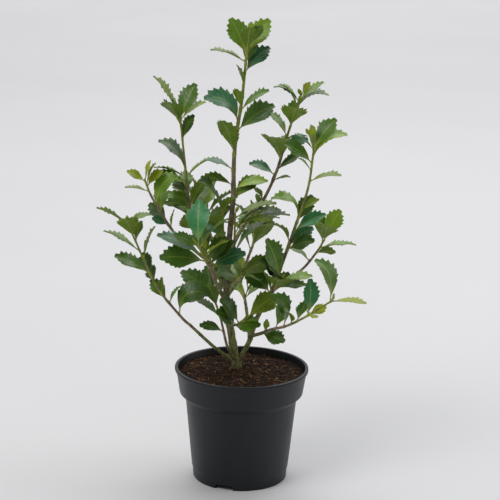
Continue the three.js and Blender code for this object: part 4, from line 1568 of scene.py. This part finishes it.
# The points of one fibre that curls over the soil, up to the edge
def fibre_line():
    place = np.array(place_within(FIBRE_REACH))
    heading = detail.uniform(0, 2 * math.pi)
    curl = detail.gauss(0, FIBRE_CURL)
    radius = detail.uniform(*FIBRE_RADIUS)
    centres = []
    for _ in range(detail.randint(*FIBRE_POINTS)):
        if np.hypot(*place) > FIBRE_EDGE:
            break
        height = soil_height(*place) + FIBRE_LIFT + FIBRE_UNEVEN * detail.random()
        centres.append(np.array([*place, height]))
        place = place + np.array([math.cos(heading), math.sin(heading)]) * FIBRE_STEP
        heading += curl
    return centres, radius


def make_fibres():
    shape = bmesh.new()
    age = shape.verts.layers.float.new("age")
    for _ in range(FIBRE_COUNT):
        centres, radius = fibre_line()
        if len(centres) < FIBRE_POINTS[0]:
            continue
        rings = []
        for i, centre in enumerate(centres):
            ahead = centres[min(i + 1, len(centres) - 1)] - centres[max(i - 1, 0)]
            rings.append((centre, unit(ahead), lambda angle, radius=radius: radius, 0.0))
        before = set(shape.faces)
        tube(shape, rings, FIBRE_SIDES, age)
        kind = dealt_finish(FIBRE_FINISHES)
        for face in set(shape.faces) - before:
            face.material_index = kind
    finished("peat_fibres", shape, litter_finishes(FIBRE_FINISHES))


make_pot()
make_soil()
make_chips()
make_fibres()


# The studio

floor_shape = bmesh.new()
bmesh.ops.create_grid(floor_shape, x_segments=8, y_segments=8, size=FLOOR_REACH)
floor_mesh = mesh_of("studio_floor", floor_shape)
floor_mesh.materials.append(floor_finish())
floor = add_to_scene("studio_floor", floor_mesh)


def soft_light(name, place, target, width, height, power, colour):
    data = bpy.data.lights.new(name, "AREA")
    data.shape = "RECTANGLE"
    data.size = width
    data.size_y = height
    data.energy = power
    data.color = colour
    light = add_to_scene(name, data)
    light.location = place
    light.rotation_euler = (Vector(target) - Vector(place)).to_track_quat("-Z", "Y").to_euler()


soft_light("key_light", (-1.4, -1.2, 2.4), (0, 0, 0.3), 1.2, 1.2, 24, (1.0, 0.99, 0.97))
soft_light("side_light", (2.3, 0.2, 1.3), (0, 0, 0.3), 1.0, 1.8, 11, (0.98, 0.99, 1.0))
soft_light("top_light", (0.4, 1.5, 2.8), (0.2, 0.6, 0.3), 2.4, 2.4, 26, (1.0, 1.0, 1.0))
soft_light("backdrop_light", (1.2, 6.5, 5.0), (1.2, 5.5, 0), 12.0, 8.0, 400, (1.0, 1.0, 1.0))

world = bpy.data.worlds.new("studio_air")
bpy.context.scene.world = world
world.use_nodes = True
air = world.node_tree.nodes["Background"].inputs
air["Color"].default_value = (0.98, 0.98, 1.0, 1.0)
air["Strength"].default_value = 0.26
bpy.context.scene.view_settings.view_transform = "Standard"

camera_data = bpy.data.cameras.new("camera")
camera_data.sensor_width = SENSOR_WIDTH
camera_data.sensor_fit = "HORIZONTAL"
camera_data.lens = SENSOR_WIDTH * FOCAL_PIXELS / PHOTO_PIXELS
camera_data.clip_end = CAMERA_SIGHT
camera = add_to_scene("camera", camera_data)
pitch, yaw, roll = (math.radians(angle) for angle in (CAMERA_PITCH, CAMERA_YAW, CAMERA_ROLL))
forward = Vector((math.sin(yaw) * math.cos(pitch), math.cos(yaw) * math.cos(pitch), math.sin(pitch)))
right = forward.cross(Vector((0, 0, 1))).normalized()
above = right.cross(forward)
turned_right = right * math.cos(roll) + above * math.sin(roll)
turned_above = above * math.cos(roll) - right * math.sin(roll)
turn = Matrix((turned_right, turned_above, -forward)).transposed().to_4x4()
camera.matrix_world = Matrix.Translation(CAMERA_PLACE) @ turn
bpy.context.scene.camera = camera
